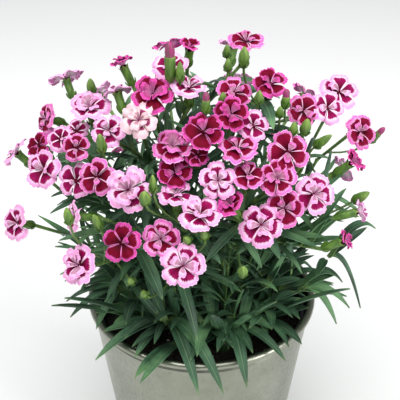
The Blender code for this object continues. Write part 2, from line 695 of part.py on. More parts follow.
    def try_leaf(self, ways, width, bunch, hosts, strict=True, stations=LEAF_STATIONS, drawn=False):
        """Keeps the first leaf of some roots, tips and arches that crosses nothing. A drawn leaf hides
        no bloom of the front either."""
        for root, tip, arch in ways:
            path = leaf_path(root, tip, arch)
            points = [bezier(path, t) for t in (0.25, 0.4, 0.55, 0.7, 0.85, 1.0)]
            if not clears_pot(points) or (drawn and self.hides_bloom(path)):
                continue
            fat = solid_of(leaf_shape(path, width, stations, CLEARANCE / 2), bunch)
            if self.is_clear(fat, hosts, strict):
                self.keep(leaf_shape(path, width, stations), bunch)
                return True
        return False

    def add_leaves(self):
        """The leaves of the young shoots, set round each shoot's top and down its stem."""
        counts = {}
        for row in LEAVES:
            shoot = self.shoots[row.shoot]
            place = counts.get(row.shoot, 0)
            counts[row.shoot] = place + 1
            top, along = along_line(shoot.line, 1.0)
            ways = []
            for step in (place, place + 0.5, place + 1):
                for more in (0, 3, 6, 10, -2):
                    for sideways, lower in ((0, 0), (3, 0), (-3, 0), (0, 4), (0, -4)):
                        tip = at_height(row.px + sideways, row.py + lower, row.height)
                        out = tip - top
                        out = unit(out - along * (out @ along))
                        root = top - along * (step * 1.7 + 0.4) * MM + out * 0.2 * MM
                        ways.append((root, tip, (row.arch + more) * MM))
            width = row.width * MM
            hosts = (shoot.index, shoot.bunch)
            if not self.try_leaf(ways, width, shoot.bunch, hosts):
                self.try_leaf(ways, width, shoot.bunch, hosts, strict=False)

    def add_dome_leaves(self):
        for row in DOME_LEAVES:
            base = on_dome(row.base_px, row.base_py, row.base_behind)
            tip = on_dome(row.tip_px, row.tip_py, row.tip_behind)
            toward = facing(0, 55)
            tips = (tip, tip + toward * 4 * MM, tip - toward * 5 * MM)
            for stem, t in self.nearest_stems(base)[:10]:
                root = along_line(stem.line, t)[0]
                ways = [(root, end, arch * MM) for end in tips for arch in (2, 0, 5)]
                if self.try_leaf(ways, row.width * MM, stem.bunch, (stem.index,)):
                    break

    def add_stem_leaves(self, draw):
        """Pairs of leaves at the joints of the stems."""
        for stem in self.stems:
            for t in STEM_LEAF_PLACES:
                root, along = along_line(stem.line, t)
                x, y = square_to(along, draw.uniform(0, 360))
                if draw.random() > STEM_LEAF_SHARE:
                    continue
                for sign in (1, -1):
                    length = draw.uniform(*STEM_LEAF_LENGTHS) * MM
                    width = draw.uniform(*STEM_LEAF_WIDTHS) * MM
                    ways = []
                    for turn in (0, 30, -30, 60, -60):
                        c = math.cos(math.radians(turn))
                        s = math.sin(math.radians(turn))
                        out = (x * c + y * s) * sign
                        drop = np.array([0, 0, 0.2 * length])
                        tip = root + (along * 0.55 + out * 0.8) * length - drop
                        ways += [(root, tip, 4 * MM), (root, tip, 7 * MM)]
                    self.try_leaf(ways, width, stem.bunch, (stem.index,), True, SMALL_LEAF_STATIONS, True)

    def add_skirt(self, draw):
        """Leaves that arch out from the crowns and over the rim, on every side."""
        for k in range(SKIRT_COUNT):
            turn = math.radians(360.0 * k / SKIRT_COUNT + draw.uniform(-5, 5))
            out = np.array([math.cos(turn), math.sin(turn), 0.0])
            bunch = bunch_of(out + np.array([0.0, 0.0, SOIL_TOP]))
            reach = draw.uniform(*SKIRT_REACHES) * MM
            drop = draw.uniform(*SKIRT_DROPS) * MM
            width = draw.uniform(*SKIRT_WIDTHS) * MM
            ways = []
            for swing in (0, 6, -6, 12, -12):
                angle = turn + math.radians(swing)
                side = np.array([math.cos(angle), math.sin(angle), 0.0])
                for shorter in (1.0, 0.85):
                    tip = side * reach * shorter + np.array([0.0, 0.0, POT_HEIGHT + 6 * MM + drop])
                    root = crown_place(bunch) + np.array([0.0, 0.0, 5 * MM]) + out * 4 * MM
                    ways += [(root, tip, arch * MM) for arch in (12, 18, 24)]
            self.try_leaf(ways, width, bunch, (bunch,))

    def add_tufts(self, draw):
        """Upright leaves from the crowns, which fill the plant between the soil and the blooms."""
        for level in range(TUFT_LEAVES):
            for index, bunch in enumerate(BUNCHES):
                spread = draw.uniform(-32, 32) if bunch.out > 10 else draw.uniform(-180, 180)
                lean = draw.uniform(*TUFT_LEANS)
                length = draw.uniform(*TUFT_LENGTHS) * MM
                width = draw.uniform(*TUFT_WIDTHS) * MM
                ways = []
                for turn, tip_over in ((0, 0), (10, 6), (-10, 6), (20, 12), (-20, 12), (0, 18), (0, -10)):
                    direction = facing(bunch.direction + 90 + spread + turn, lean + tip_over)
                    root = crown_place(index) + np.array([0, 0, 5 * MM]) + direction * 3 * MM
                    ways.append((root, root + direction * length, 5 * MM))
                if not self.try_leaf(ways, width, index, (index,), True, SMALL_LEAF_STATIONS, True):
                    self.try_leaf(ways, width, index, (index,), False, SMALL_LEAF_STATIONS, True)

    def grow(self):
        draw = random.Random(SEED)
        self.add_crowns()
        self.add_stems()
        self.add_buds()
        self.add_shoots()
        self.add_leaves()
        self.add_dome_leaves()
        self.add_skirt(draw)
        self.add_tufts(draw)
        self.add_stem_leaves(draw)


def crown_gap(head, index):
    """How far a crown is from under a flower head, seen from above."""
    return float(np.linalg.norm((crown_place(index) * 2.2 - head.centre)[:2]))


def crown_spot(bunch, spot):
    """Where a stem leaves its crown: spots in a spiral, the first in the middle."""
    turn = math.radians(137.5 * spot)
    out = min(1.55 * math.sqrt(spot), 5.5) * MM
    return crown_place(bunch) + np.array([out * math.cos(turn), out * math.sin(turn), 3 * MM])


def crown_shape(place, extra):
    """The woody foot of a bunch of stems: a peg that stands in its hole in the soil."""
    x = np.array([1.0, 0.0, 0.0])
    y = np.array([0.0, 1.0, 0.0])
    up = np.array([0.0, 0.0, 1.0])
    rings = [
        ring(place - up * (CROWN_DEPTH + extra), x, y, 0.6 * CROWN_RADIUS + extra, 6),
        ring(place + up * 1.0 * MM, x, y, CROWN_RADIUS + extra, 6),
        ring(place + up * CROWN_RISE, x, y, 0.75 * CROWN_RADIUS + extra, 6),
    ]
    return loft(rings)


def clear_scene():
    for item in list(bpy.data.objects):
        bpy.data.objects.remove(item)


def new_collection(name):
    collection = bpy.data.collections.new(name)
    bpy.context.scene.collection.children.link(collection)
    return collection


def new_material(name, colour, roughness, metallic=0.0):
    material = bpy.data.materials.new(name)
    material.use_nodes = True
    shader = material.node_tree.nodes["Principled BSDF"]
    shader.inputs["Base Color"].default_value = (*colour, 1.0)
    shader.inputs["Roughness"].default_value = roughness
    shader.inputs["Metallic"].default_value = metallic
    return material


def new_object(name, shape, collection, material=None):
    points, faces = shape
    mesh = bpy.data.meshes.new(name)
    mesh.from_pydata([tuple(p) for p in points], [], faces)
    mesh.update()
    item = bpy.data.objects.new(name, mesh)
    collection.objects.link(item)
    if material:
        mesh.materials.append(material)
    return item


def turned(name, profile, steps, collection, material):
    """A turned piece: a profile at +X, spun about Z, open where it meets the axis."""
    mesh = bpy.data.meshes.new(name)
    edges = [(k, k + 1) for k in range(len(profile) - 1)]
    mesh.from_pydata([(radius, 0.0, height) for radius, height in profile], edges, [])
    mesh.materials.append(material)
    item = bpy.data.objects.new(name, mesh)
    collection.objects.link(item)
    screw = item.modifiers.new("turn", "SCREW")
    screw.steps = steps
    screw.render_steps = steps
    screw.use_merge_vertices = True
    screw.merge_threshold = 0.0001
    return item


def pot_radius(height):
    return BASE_RADIUS + (RIM_RADIUS - BEAD - BASE_RADIUS) * height / POT_HEIGHT


def make_pot(collection, material):
    """Sheet metal with a rolled bead at the rim and a thin groove under it."""
    lip = RIM_RADIUS - BEAD
    bead = []
    for angle in range(-60, 241, 50):
        turn = math.radians(90 - angle)
        bead.append((lip + BEAD * math.cos(turn), POT_HEIGHT - BEAD + BEAD * math.sin(turn)))
    inner_top = POT_HEIGHT - 2.2 * BEAD
    groove = POT_HEIGHT - 2.6 * BEAD
    profile = [(0.0, SHEET), (pot_radius(SHEET) - SHEET, SHEET), (pot_radius(inner_top) - SHEET, inner_top)]
    profile += bead
    profile += [(pot_radius(groove) + 0.2 * MM, groove), (pot_radius(groove) + 0.9 * MM, groove - 1.5 * MM)]
    profile += [(pot_radius(0.6 * POT_HEIGHT), 0.6 * POT_HEIGHT), (pot_radius(2 * MM), 2 * MM)]
    profile += [(BASE_RADIUS - 1.5 * MM, 0.0), (0.0, 0.0)]
    return turned("pot", profile, POT_STEPS, collection, material)


def liner_radius(height):
    return LINER_BASE_RADIUS + (LINER_TOP_RADIUS - LINER_BASE_RADIUS) * height / LINER_TOP


def make_liner(collection, material):
    """The black nursery pot inside, with a lip at its edge."""
    floor = SHEET + FIT
    lip = 1.6 * MM
    inside = LINER_TOP_RADIUS - LINER_WALL
    profile = [(0.0, floor + LINER_WALL), (liner_radius(floor) - LINER_WALL, floor + LINER_WALL)]
    profile += [(inside, LINER_TOP), (LINER_TOP_RADIUS + lip, LINER_TOP)]
    profile += [(LINER_TOP_RADIUS + lip, LINER_TOP - 5 * MM)]
    profile += [(liner_radius(LINER_TOP - 6 * MM), LINER_TOP - 6 * MM)]
    profile += [(liner_radius(floor), floor), (0.0, floor)]
    return turned("nursery_pot", profile, INNER_STEPS, collection, material)


def make_soil(collection, cutters, material):
    """Potting soil to a little below the inner pot's edge, with a hole for each crown."""
    floor = SHEET + FIT + LINER_WALL + FIT
    wall = LINER_WALL + 1.3 * FIT
    top = liner_radius(SOIL_TOP) - wall
    profile = [(0.0, SOIL_TOP), (0.55 * top, SOIL_TOP + 0.8 * MM), (top, SOIL_TOP - 1.5 * MM)]
    profile += [(liner_radius(floor) - wall, floor), (0.0, floor)]
    soil = turned("soil", profile, INNER_STEPS, collection, material)
    for index in range(len(BUNCHES)):
        hole = new_object(f"hole_{index}", crown_shape(crown_place(index), 1.4 * FIT), cutters)
        hole.hide_render = True
        hole.display_type = "WIRE"
    cut = soil.modifiers.new("holes", "BOOLEAN")
    cut.operation = "DIFFERENCE"
    cut.operand_type = "COLLECTION"
    cut.collection = cutters
    cut.solver = "EXACT"
    return soil


def is_closed(work):
    return all(edge.is_manifold for edge in work.edges)


def tidied(mesh):
    """Welds a mesh, joins its flat faces where that keeps it closed, and says whether it is closed."""
    work = bmesh.new()
    work.from_mesh(mesh)
    bmesh.ops.remove_doubles(work, verts=work.verts, dist=WELD)
    lean = work.copy()
    flat = math.radians(FLAT_ANGLE)
    bmesh.ops.dissolve_limit(lean, angle_limit=flat, verts=lean.verts, edges=lean.edges)
    bmesh.ops.triangulate(lean, faces=lean.faces)
    chosen = lean if is_closed(lean) else work
    closed = is_closed(chosen)
    chosen.to_mesh(mesh)
    lean.free()
    work.free()
    return closed


def fuse(name, shapes, collection, material):
    """One body from shapes that grow into each other, by the first solver that leaves it closed."""
    item = new_object(name, shapes[0], collection, material)
    if len(shapes) == 1:
        return item
    parts = new_collection(name + "_parts")
    for number, shape in enumerate(shapes[1:]):
        new_object(f"{name}_{number}", shape, parts)
    union = item.modifiers.new("union", "BOOLEAN")
    union.operation = "UNION"
    union.operand_type = "COLLECTION"
    union.collection = parts
    for solver in ("MANIFOLD", "EXACT"):
        union.solver = solver
        bpy.context.view_layer.update()
        graph = bpy.context.evaluated_depsgraph_get()
        mesh = bpy.data.meshes.new_from_object(item.evaluated_get(graph))
        if tidied(mesh):
            break
    item.modifiers.remove(union)
    item.data = mesh
    for part in list(parts.objects):
        bpy.data.objects.remove(part)
    bpy.data.collections.remove(parts)
    return item


def bloom_groups(blooms):
    """Blooms that grow into each other, as lists of numbers."""
    group = list(range(len(blooms)))
    for a in range(len(blooms)):
        for b in range(a):
            if group[a] != group[b] and crosses(blooms[a], blooms[b]):
                old = group[a]
                group = [group[b] if g == old else g for g in group]
    return [[k for k, g in enumerate(group) if g == value] for value in sorted(set(group))]


def make_blooms(plant, collection):
    petals = {tone: new_material("petals_" + tone, colour, 0.6) for tone, colour in TONES.items()}
    for members in bloom_groups(plant.blooms):
        heads = [plant.heads[k] for k in members]
        name = "_".join(["bloom"] + [head.name[-2:] for head in heads])
        shapes = [(plant.blooms[k].points, plant.blooms[k].faces) for k in members]
        fuse(name, shapes, collection, petals[heads[0].tone])


def make_greens(plant, collection):
    for index, bunch in enumerate(BUNCHES):
        leaf = new_material("leaves_" + bunch.name, (0.06, 0.13 + 0.008 * index, 0.05), 0.55)
        shapes = [(solid.points, solid.faces) for solid in plant.greens if solid.bunch == index]
        fuse("leafy_stems_" + bunch.name, shapes, collection, leaf)


def main():
    clear_scene()
    model = new_collection("potted_pink")
    cutters = new_collection("cutters")
    make_pot(model, new_material("zinc", (0.46, 0.46, 0.42), 0.42, 0.85))
    make_liner(model, new_material("black_plastic", (0.02, 0.02, 0.026), 0.5))
    make_soil(model, cutters, new_material("potting_soil", (0.02, 0.015, 0.012), 0.95))
    plant = Plant()
    plant.grow()
    make_blooms(plant, model)
    make_greens(plant, model)


if __name__ == "__main__":
    main()
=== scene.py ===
# %% [markdown]
# # A garden pink in a zinc pot
#
# The object is a flowering pot pink (dianthus): narrow grey-green leaves, thin jointed stems, and some
# sixty fringed blooms with a dark eye. It stands in a tapered zinc pot that hides a black nursery pot.
# This lesson loads the CAD model as a fixed frame and then dresses it. The CAD solids are few-sided, so
# each one gets a finer piece in its own place, and each finish is made with nodes.

# %% Load the frame
import math
import random
from collections import namedtuple

import bpy
import numpy as np
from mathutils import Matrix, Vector
from mathutils.bvhtree import BVHTree


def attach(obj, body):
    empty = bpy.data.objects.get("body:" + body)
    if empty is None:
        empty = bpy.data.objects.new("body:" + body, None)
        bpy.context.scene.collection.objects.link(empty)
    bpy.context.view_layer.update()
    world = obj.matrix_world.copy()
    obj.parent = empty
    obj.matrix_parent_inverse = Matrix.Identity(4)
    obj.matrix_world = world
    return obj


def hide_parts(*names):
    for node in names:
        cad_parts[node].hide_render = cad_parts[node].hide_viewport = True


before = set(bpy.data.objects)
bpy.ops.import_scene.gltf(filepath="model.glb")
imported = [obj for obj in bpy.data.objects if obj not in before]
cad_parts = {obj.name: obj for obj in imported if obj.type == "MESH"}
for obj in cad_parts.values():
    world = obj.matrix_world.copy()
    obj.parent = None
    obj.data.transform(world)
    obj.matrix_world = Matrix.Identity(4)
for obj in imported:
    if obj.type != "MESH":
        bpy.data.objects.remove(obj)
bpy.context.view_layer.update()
print("nodes in the frame:", len(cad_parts))

# %% [markdown]
# ## Sizes and places
#
# The plant can't be read back from the CAD meshes: they are loose triangles, with no note of which stem
# carries which bloom. So the lesson repeats the CAD model's own layout, from the same tables and in the
# same order, and then draws a finer shape at each place. Each bloom, bud and leaf is named by the point
# of a 400 by 400 picture that it covers, and its depth comes from a dome that the blooms lie on.

# %% The pots, the viewpoint and the dome
MM = 0.001

# Driving sizes of the pots and the soil
RIM_RADIUS = 80 * MM
POT_HEIGHT = 145 * MM
BASE_RADIUS = 60 * MM
SHEET = 1.3 * MM
BEAD = 2.6 * MM
LINER_TOP = 134 * MM
LINER_TOP_RADIUS = 72.0 * MM
LINER_BASE_RADIUS = 55 * MM
LINER_WALL = 1.2 * MM
SOIL_TOP = 124 * MM
FIT = 0.3 * MM
POT_STEPS = 128

# The viewpoint: where the eye is, how far it looks down, and the picture's focal length and middle
EYE = np.array([-1.1, -470.5, 508.6]) * MM
LOOK_DOWN = math.radians(31.67)
FOCAL = 833.0
MIDDLE = 200.0

# The dome that the blooms lie on
DOME_CENTRE = np.array([0.0, 0.0, 195.0]) * MM
DOME_RADII = np.array([122.0, 105.0, 135.0]) * MM

# Bunches of stems, each with a crown at the soil: its direction, from +X towards +Y, and its distance
# from the middle. The blooms crowd towards the front, and so do the crowns.
Bunch = namedtuple("Bunch", "name direction out")
BUNCHES = (
    Bunch("middle", 270, 2), Bunch("front_left", 250, 40), Bunch("front_right", 290, 40),
    Bunch("left_front", 212, 39), Bunch("right_front", 328, 39), Bunch("left", 172, 38),
    Bunch("right", 8, 38), Bunch("rear_left", 125, 36), Bunch("rear_right", 55, 36),
)
CROWN_RADIUS = 7.5 * MM
CROWN_DEPTH = 12 * MM
CROWN_RISE = 8 * MM
MIDDLE_CONE = math.radians(22)
CROWN_SPOTS = 12
CROWN_MIDDLE = np.array([0.0, 0.0, SOIL_TOP])

# %% [markdown]
# ## Blooms
# 
# A pot pink's blooms crowd over a dome. Each row gives where one bloom is seen, how wide it is,
# which way it faces, and how many whorls of petals it has. A table keeps every bloom of the real
# plant in its own place. The far side, which isn't seen, follows a rule.

# %% The blooms' table
# A bloom: five petals round a hub, on a claw that tapers down into the calyx
PETALS = 5
HUB_RADIUS = 2.1 * MM
HUB_THICKNESS = 2.1 * MM
CLAW_TOP = 1.0 * MM
CLAW_TIP = 9.0 * MM
CALYX_MOUTH = 1.5 * MM
CALYX_MOUTH_RADIUS = 2.7 * MM
CALYX_BELLY = 8.0 * MM
CALYX_BELLY_RADIUS = 2.9 * MM
CALYX_NECK = 14.0 * MM
CALYX_NECK_RADIUS = 1.2 * MM
CALYX_FLOOR = 10.2 * MM
BUD_SIDES = 4

# Stems: radii, the sideways sway a stem may take, and the lengths that a side stem may have
STEM_RADIUS = 1.0 * MM
STEM_BASE_RADIUS = 1.2 * MM
SIDE_STEM_RADIUS = 0.65 * MM
STEM_SWAYS = (0, 7, -7, 14, -14)
SIDE_STEM_SHORTEST = 14 * MM
SIDE_STEM_LONGEST = 62 * MM

# The toothed edge of one petal, from notch to last tooth: share of the radius, and height of the wave
OUTER_EDGE = ((0.78, 0.00), (1.00, -0.05), (0.91, 0.03), (0.99, 0.08))
INNER_EDGE = ((1.00, 0.06), (0.60, 0.00), (0.92, 0.08))

# How far petals rise from the flat, in degrees, and the inner petals' share of the radius (0 for none)
Form = namedtuple("Form", "rise inner_rise inner_share")
FORMS = {
    "open": Form(9, 42, 0.56),
    "flat": Form(4, 30, 0.42),
    "full": Form(12, 52, 0.70),
    "plain": Form(11, 0, 0.0),
    "cup": Form(38, 60, 0.80),
    "tulip": Form(50, 0, 0.0),
}

# Blooms: picture point, width across in the picture, bearing (0 towards the eye, 90 to the right),
# lean from upright, form, colour, and how far behind the dome in mm
Bloom = namedtuple("Bloom", "px py width bearing lean form tone behind")
BLOOMS = (
    Bloom(66, 79, 37, -148, 42, "open", "pale", 0),
    Bloom(123, 66, 27, -122, 31, "cup", "magenta", 0),
    Bloom(117, 92, 30, -150, 40, "open", "pale", 4),
    Bloom(47, 119, 34, -55, 62, "open", "pink", 0),
    Bloom(90, 109, 44, -5, 22, "full", "pale", 2.5),
    Bloom(109, 131, 36, -8, 42, "open", "pale", 6),
    Bloom(139, 121, 38, 0, 42, "full", "cream", 0),
    Bloom(17, 153, 34, -97, 46, "open", "pale", 0),
    Bloom(39, 145, 28, -40, 40, "plain", "magenta", 10),
    Bloom(61, 139, 30, -20, 40, "plain", "pale", 7),
    Bloom(77, 131, 28, -10, 30, "plain", "pale", 14),
    Bloom(77, 148, 30, -15, 52, "open", "pink", 0),
    Bloom(44, 170, 42, -32, 55, "open", "pale", 0),
    Bloom(76, 181, 38, -25, 50, "plain", "pale", 9),
    Bloom(97, 177, 39, -8, 55, "open", "pink", 0),
    Bloom(170, 67, 40, -5, 22, "open", "pale", 2),
    Bloom(190, 48, 24, 30, 15, "tulip", "magenta", 0),
    Bloom(153, 95, 44, -5, 30, "full", "magenta", 2),
    Bloom(189, 88, 38, 0, 12, "open", "pale", 4),
    Bloom(173, 148, 44, -8, 22, "full", "pink", 12),
    Bloom(204, 132, 43, 0, 35, "open", "magenta", 0),
    Bloom(197, 156, 26, 0, 35, "plain", "magenta", 10),
    Bloom(246, 42, 38, 10, 14, "open", "pink", 0),
    Bloom(270, 84, 37, 5, 26, "open", "magenta", 0),
    Bloom(234, 93, 38, 5, 30, "open", "pink", 9),
    Bloom(231, 114, 38, 0, 42, "full", "magenta", 0),
    Bloom(253, 126, 34, 5, 45, "open", "pale", 4),
    Bloom(339, 92, 42, 22, 30, "open", "pale", 8),
    Bloom(327, 108, 36, 18, 52, "open", "pale", -3),
    Bloom(303, 111, 36, 5, 48, "open", "pink", 8),
    Bloom(360, 132, 36, 27, 56, "open", "pink", 0),
    Bloom(351, 163, 30, 83, 45, "cup", "magenta", 0),
    Bloom(288, 152, 44, 5, 50, "open", "pink", 0),
    Bloom(238, 149, 42, 0, 12, "open", "pink", 1.5),
    Bloom(218, 181, 40, -3, 48, "full", "pale", 3.5),
    Bloom(248, 176, 36, 5, 25, "open", "pink", 1.5),
    Bloom(232, 206, 32, -47, 30, "cup", "magenta", 4),
    Bloom(277, 179, 40, 6, 42, "full", "pink", 0),
    Bloom(284, 208, 42, 5, 58, "open", "pink", 3.5),
    Bloom(261, 225, 46, -8, 55, "full", "pale", 5.5),
    Bloom(313, 194, 46, 18, 55, "full", "pale", 0),
    Bloom(357, 212, 26, 95, 76, "cup", "pale", 0),
    Bloom(343, 241, 24, 83, 62, "cup", "magenta", 0),
    Bloom(18, 223, 38, -50, 60, "open", "pale", 0),
    Bloom(75, 217, 36, -72, 78, "open", "pale", 4),
    Bloom(80, 265, 44, -38, 60, "full", "pale", 0),
    Bloom(122, 243, 41, -8, 55, "flat", "magenta", 0),
    Bloom(161, 239, 39, -4, 52, "full", "pink", 4.5),
    Bloom(183, 266, 47, 0, 52, "full", "pale", 0),
    Bloom(129, 190, 49, -8, 57, "full", "pale", 0),
    Bloom(175, 173, 38, -4, 31, "open", "magenta", 12.5),
    Bloom(176, 196, 38, -4, 8, "open", "pale", 8.5),
    Bloom(200, 216, 46, -2, 22, "full", "pale", 0),
)

# Blooms on the far side follow a rule: rows of the dome, with how many each holds and its lean
FarRow = namedtuple("FarRow", "height count spread lean")
FAR_ROWS = (FarRow(8, 5, 75, 72), FarRow(34, 4, 62, 55), FarRow(58, 2, 40, 32))
FAR_WIDTH = 23 * MM

# %% [markdown]
# ## Buds, shoots and leaves
# 
# Buds and the long outer leaves are seen one by one, so they have rows too. What fills the
# plant between them is drawn by a rule with a fixed seed, so that each run grows it alike.

# %% Buds, shoots and leaves
# Closed buds: picture point of the middle, length and width in mm, bearing, lean, mm behind the dome
Bud = namedtuple("Bud", "px py length width bearing lean behind")
BUDS = (
    Bud(206, 103, 14, 4.6, 0, 5, -6), Bud(286, 99, 13, 4.6, 10, 6, -5),
    Bud(298, 165, 13, 5.0, 10, 5, -6), Bud(377, 135, 15, 4.4, 70, 35, 0), Bud(91, 86, 11, 5.5, -10, 10, 0),
    Bud(101, 143, 14, 5.8, -10, 15, -7), Bud(244, 57, 14, 6.5, 0, 8, -6),
    Bud(227, 51, 9, 4.5, 0, 8, 0), Bud(228, 65, 9, 4.5, 0, 10, 0), Bud(259, 97, 9, 5.0, 5, 10, -4),
    Bud(306, 127, 13, 6.2, 15, 20, -7), Bud(294, 128, 9, 4.6, 0, 10, -5), Bud(280, 112, 8, 4.4, 0, 10, 0),
    Bud(323, 141, 14, 5.2, 70, 45, 2), Bud(97, 222, 15, 5.0, -25, 25, 0), Bud(68, 216, 12, 5.4, -50, 5, -13),
    Bud(145, 198, 12, 7.0, 0, 25, -8), Bud(153, 184, 13, 4.2, 0, 8, -5), Bud(187, 240, 9, 4.8, -10, 45, 0),
    Bud(204, 235, 11, 4.8, -15, 35, 0), Bud(361, 197, 14, 6.0, 60, 45, 0),
    Bud(131, 281, 6, 4.6, -20, 35, 14),
    Bud(144, 294, 6, 4.6, -20, 35, 16), Bud(243, 271, 9, 6.0, -5, 20, 10), Bud(223, 98, 8, 4.4, 0, 8, 0),
)

# Young shoots with no bloom: picture point and height of the top in mm
Shoot = namedtuple("Shoot", "px py height")
SHOOTS = {
    "right of middle": Shoot(235.5, 312, 158),
    "left of middle": Shoot(169, 317, 157),
    "low left": Shoot(191, 314, 152),
    "grey left": Shoot(133, 300, 165),
    "far left": Shoot(117, 285, 171),
    "low right": Shoot(272, 315, 152),
    "far right": Shoot(305, 286, 173),
    "grey right": Shoot(268, 283, 182),
    "high right": Shoot(332, 254, 197),
}

# Leaves of those shoots: picture point and height of the tip, width and rise of the arch in mm
Leaf = namedtuple("Leaf", "shoot px py height width arch")
LEAVES = (
    Leaf("right of middle", 216, 280, 180, 6.5, 3), Leaf("right of middle", 216, 318, 161, 6.0, 3),
    Leaf("right of middle", 217, 352, 151, 7.5, 5), Leaf("right of middle", 243, 289, 178, 5.5, 3),
    Leaf("right of middle", 257, 319, 159, 5.5, 3), Leaf("right of middle", 272, 329, 154, 8.0, 6),
    Leaf("right of middle", 301, 294, 166, 8.0, 5), Leaf("right of middle", 247, 388, 138, 8.5, 12),
    Leaf("right of middle", 253, 353, 151, 7.5, 6), Leaf("right of middle", 286, 361, 146, 7.0, 10),
    Leaf("right of middle", 202, 346, 151, 8.0, 4), Leaf("right of middle", 193, 300, 166, 7.0, 2),
    Leaf("left of middle", 224, 394, 135, 9.0, 14), Leaf("left of middle", 199, 395, 134, 8.5, 12),
    Leaf("left of middle", 95, 360, 142, 9.0, 8), Leaf("left of middle", 103, 335, 152, 8.0, 5),
    Leaf("left of middle", 154, 344, 152, 5.0, 3), Leaf("left of middle", 135, 357, 145, 7.0, 6),
    Leaf("left of middle", 131, 270, 186, 6.0, 2), Leaf("low left", 201, 346, 150, 7.5, 3),
    Leaf("low left", 183, 347, 151, 6.5, 3), Leaf("low left", 205, 292, 172, 6.5, 3),
    Leaf("grey left", 96, 312, 159, 8.0, 4), Leaf("grey left", 118, 268, 188, 6.5, 2),
    Leaf("grey left", 113, 325, 153, 7.0, 4), Leaf("far left", 66, 301, 161, 6.5, 5),
    Leaf("far left", 70, 317, 154, 7.0, 6), Leaf("far left", 96, 329, 152, 6.0, 4),
    Leaf("far left", 113, 301, 166, 6.0, 3), Leaf("far left", 99, 268, 184, 6.0, 2),
    Leaf("low right", 289, 347, 149, 5.5, 6), Leaf("low right", 302, 344, 147, 7.5, 7),
    Leaf("low right", 268, 341, 151, 4.5, 3), Leaf("low right", 309, 311, 156, 8.0, 3),
    Leaf("far right", 337, 324, 149, 8.5, 9), Leaf("far right", 350, 308, 157, 7.0, 8),
    Leaf("far right", 347, 300, 163, 7.0, 4), Leaf("far right", 343, 282, 173, 7.0, 3),
    Leaf("far right", 334, 275, 179, 7.0, 3), Leaf("far right", 276, 300, 169, 6.5, 2),
    Leaf("grey right", 282, 258, 198, 8.0, 3), Leaf("grey right", 247, 296, 172, 8.0, 2),
    Leaf("grey right", 300, 278, 182, 6.5, 2), Leaf("grey right", 240, 262, 196, 6.0, 2),
    Leaf("high right", 361, 308, 154, 9.5, 12), Leaf("high right", 379, 228, 212, 9.0, 3),
    Leaf("high right", 370, 227, 206, 6.0, 2), Leaf("high right", 316, 276, 182, 7.0, 3),
)

# Leaves among the blooms: base and tip in the picture, mm behind the dome, width
DomeLeaf = namedtuple("DomeLeaf", "base_px base_py tip_px tip_py base_behind tip_behind width")
DOME_LEAVES = (
    DomeLeaf(318, 172, 331, 149, 12, 2, 5.5), DomeLeaf(298, 224, 280, 259, 14, 8, 7.0),
    DomeLeaf(211, 228, 221, 264, 12, 10, 6.0), DomeLeaf(247, 112, 273, 131, 8, -4, 7.0),
    DomeLeaf(336, 222, 346, 188, 8, 4, 6.0), DomeLeaf(75, 202, 51, 196, 12, 4, 5.0),
    DomeLeaf(72, 222, 50, 213, 12, 4, 5.0), DomeLeaf(85, 232, 59, 240, 14, 5, 6.0),
    DomeLeaf(80, 243, 55, 246, 14, 6, 4.5), DomeLeaf(84, 252, 60, 274, 16, 6, 5.0),
    DomeLeaf(352, 190, 345, 172, 6, 2, 5.0), DomeLeaf(150, 262, 163, 300, 14, 8, 8.5),
    DomeLeaf(120, 262, 96, 246, 16, 8, 6.0), DomeLeaf(140, 262, 139, 226, 18, 10, 6.0),
    DomeLeaf(215, 240, 205, 262, 14, 12, 5.5), DomeLeaf(243, 248, 262, 268, 14, 10, 6.0),
    DomeLeaf(290, 240, 318, 247, 14, 8, 7.0), DomeLeaf(300, 236, 333, 216, 14, 6, 6.0),
    DomeLeaf(315, 222, 325, 205, 14, 8, 6.0), DomeLeaf(150, 118, 159, 137, 10, 4, 5.0),
    DomeLeaf(96, 204, 84, 190, 14, 8, 5.0), DomeLeaf(305, 246, 330, 196, 16, 6, 5.5),
    DomeLeaf(318, 244, 352, 205, 12, 5, 5.0), DomeLeaf(296, 262, 325, 236, 14, 8, 6.5),
    DomeLeaf(310, 262, 345, 236, 12, 6, 6.0),
)

# Leaf pairs up the stems and leaves from the crowns on all sides follow a rule with a seeded draw.
# Lengths, widths, reaches and drops are in mm, leans in degrees from upright.
SEED = 11
STEM_LEAF_PLACES = (0.36, 0.60)
STEM_LEAF_SHARE = 0.13
STEM_LEAF_LENGTHS = (34, 52)
STEM_LEAF_WIDTHS = (4.5, 7.0)
SKIRT_COUNT = 30
SKIRT_REACHES = (70, 98)
SKIRT_DROPS = (-12, 10)
SKIRT_WIDTHS = (5.5, 8.5)
TUFT_LEAVES = 4
TUFT_LEANS = (14, 62)
TUFT_LENGTHS = (62, 104)
TUFT_WIDTHS = (6.0, 8.5)
LEAF_THICKNESS = 1.3 * MM
STEEP = 0.25
LEAF_STATIONS = ((0.0, 0.12), (0.30, 1.0), (0.66, 0.80))
SMALL_LEAF_STATIONS = ((0.0, 0.14), (0.42, 1.0))
CLEARANCE = 0.45 * MM

# %% [markdown]
# ## From a picture point to a place
# 
# A sight line starts at the eye and goes through a point of the picture. Where it meets the dome,
# or comes down to a height, is a place in the model. Rings of points, joined by a loft, are the
# simplest way to a stem that bends in any direction.

# %% Sight lines, rings and lofts
def unit(vector):
    return vector / np.linalg.norm(vector)


def sight_line(px, py):
    """The direction in which a point of the picture is seen."""
    forward = np.array([0.0, math.cos(LOOK_DOWN), -math.sin(LOOK_DOWN)])
    up = np.array([0.0, math.sin(LOOK_DOWN), math.cos(LOOK_DOWN)])
    across = np.array([px - MIDDLE, 0.0, 0.0])
    return unit(FOCAL * forward + across - (py - MIDDLE) * up)


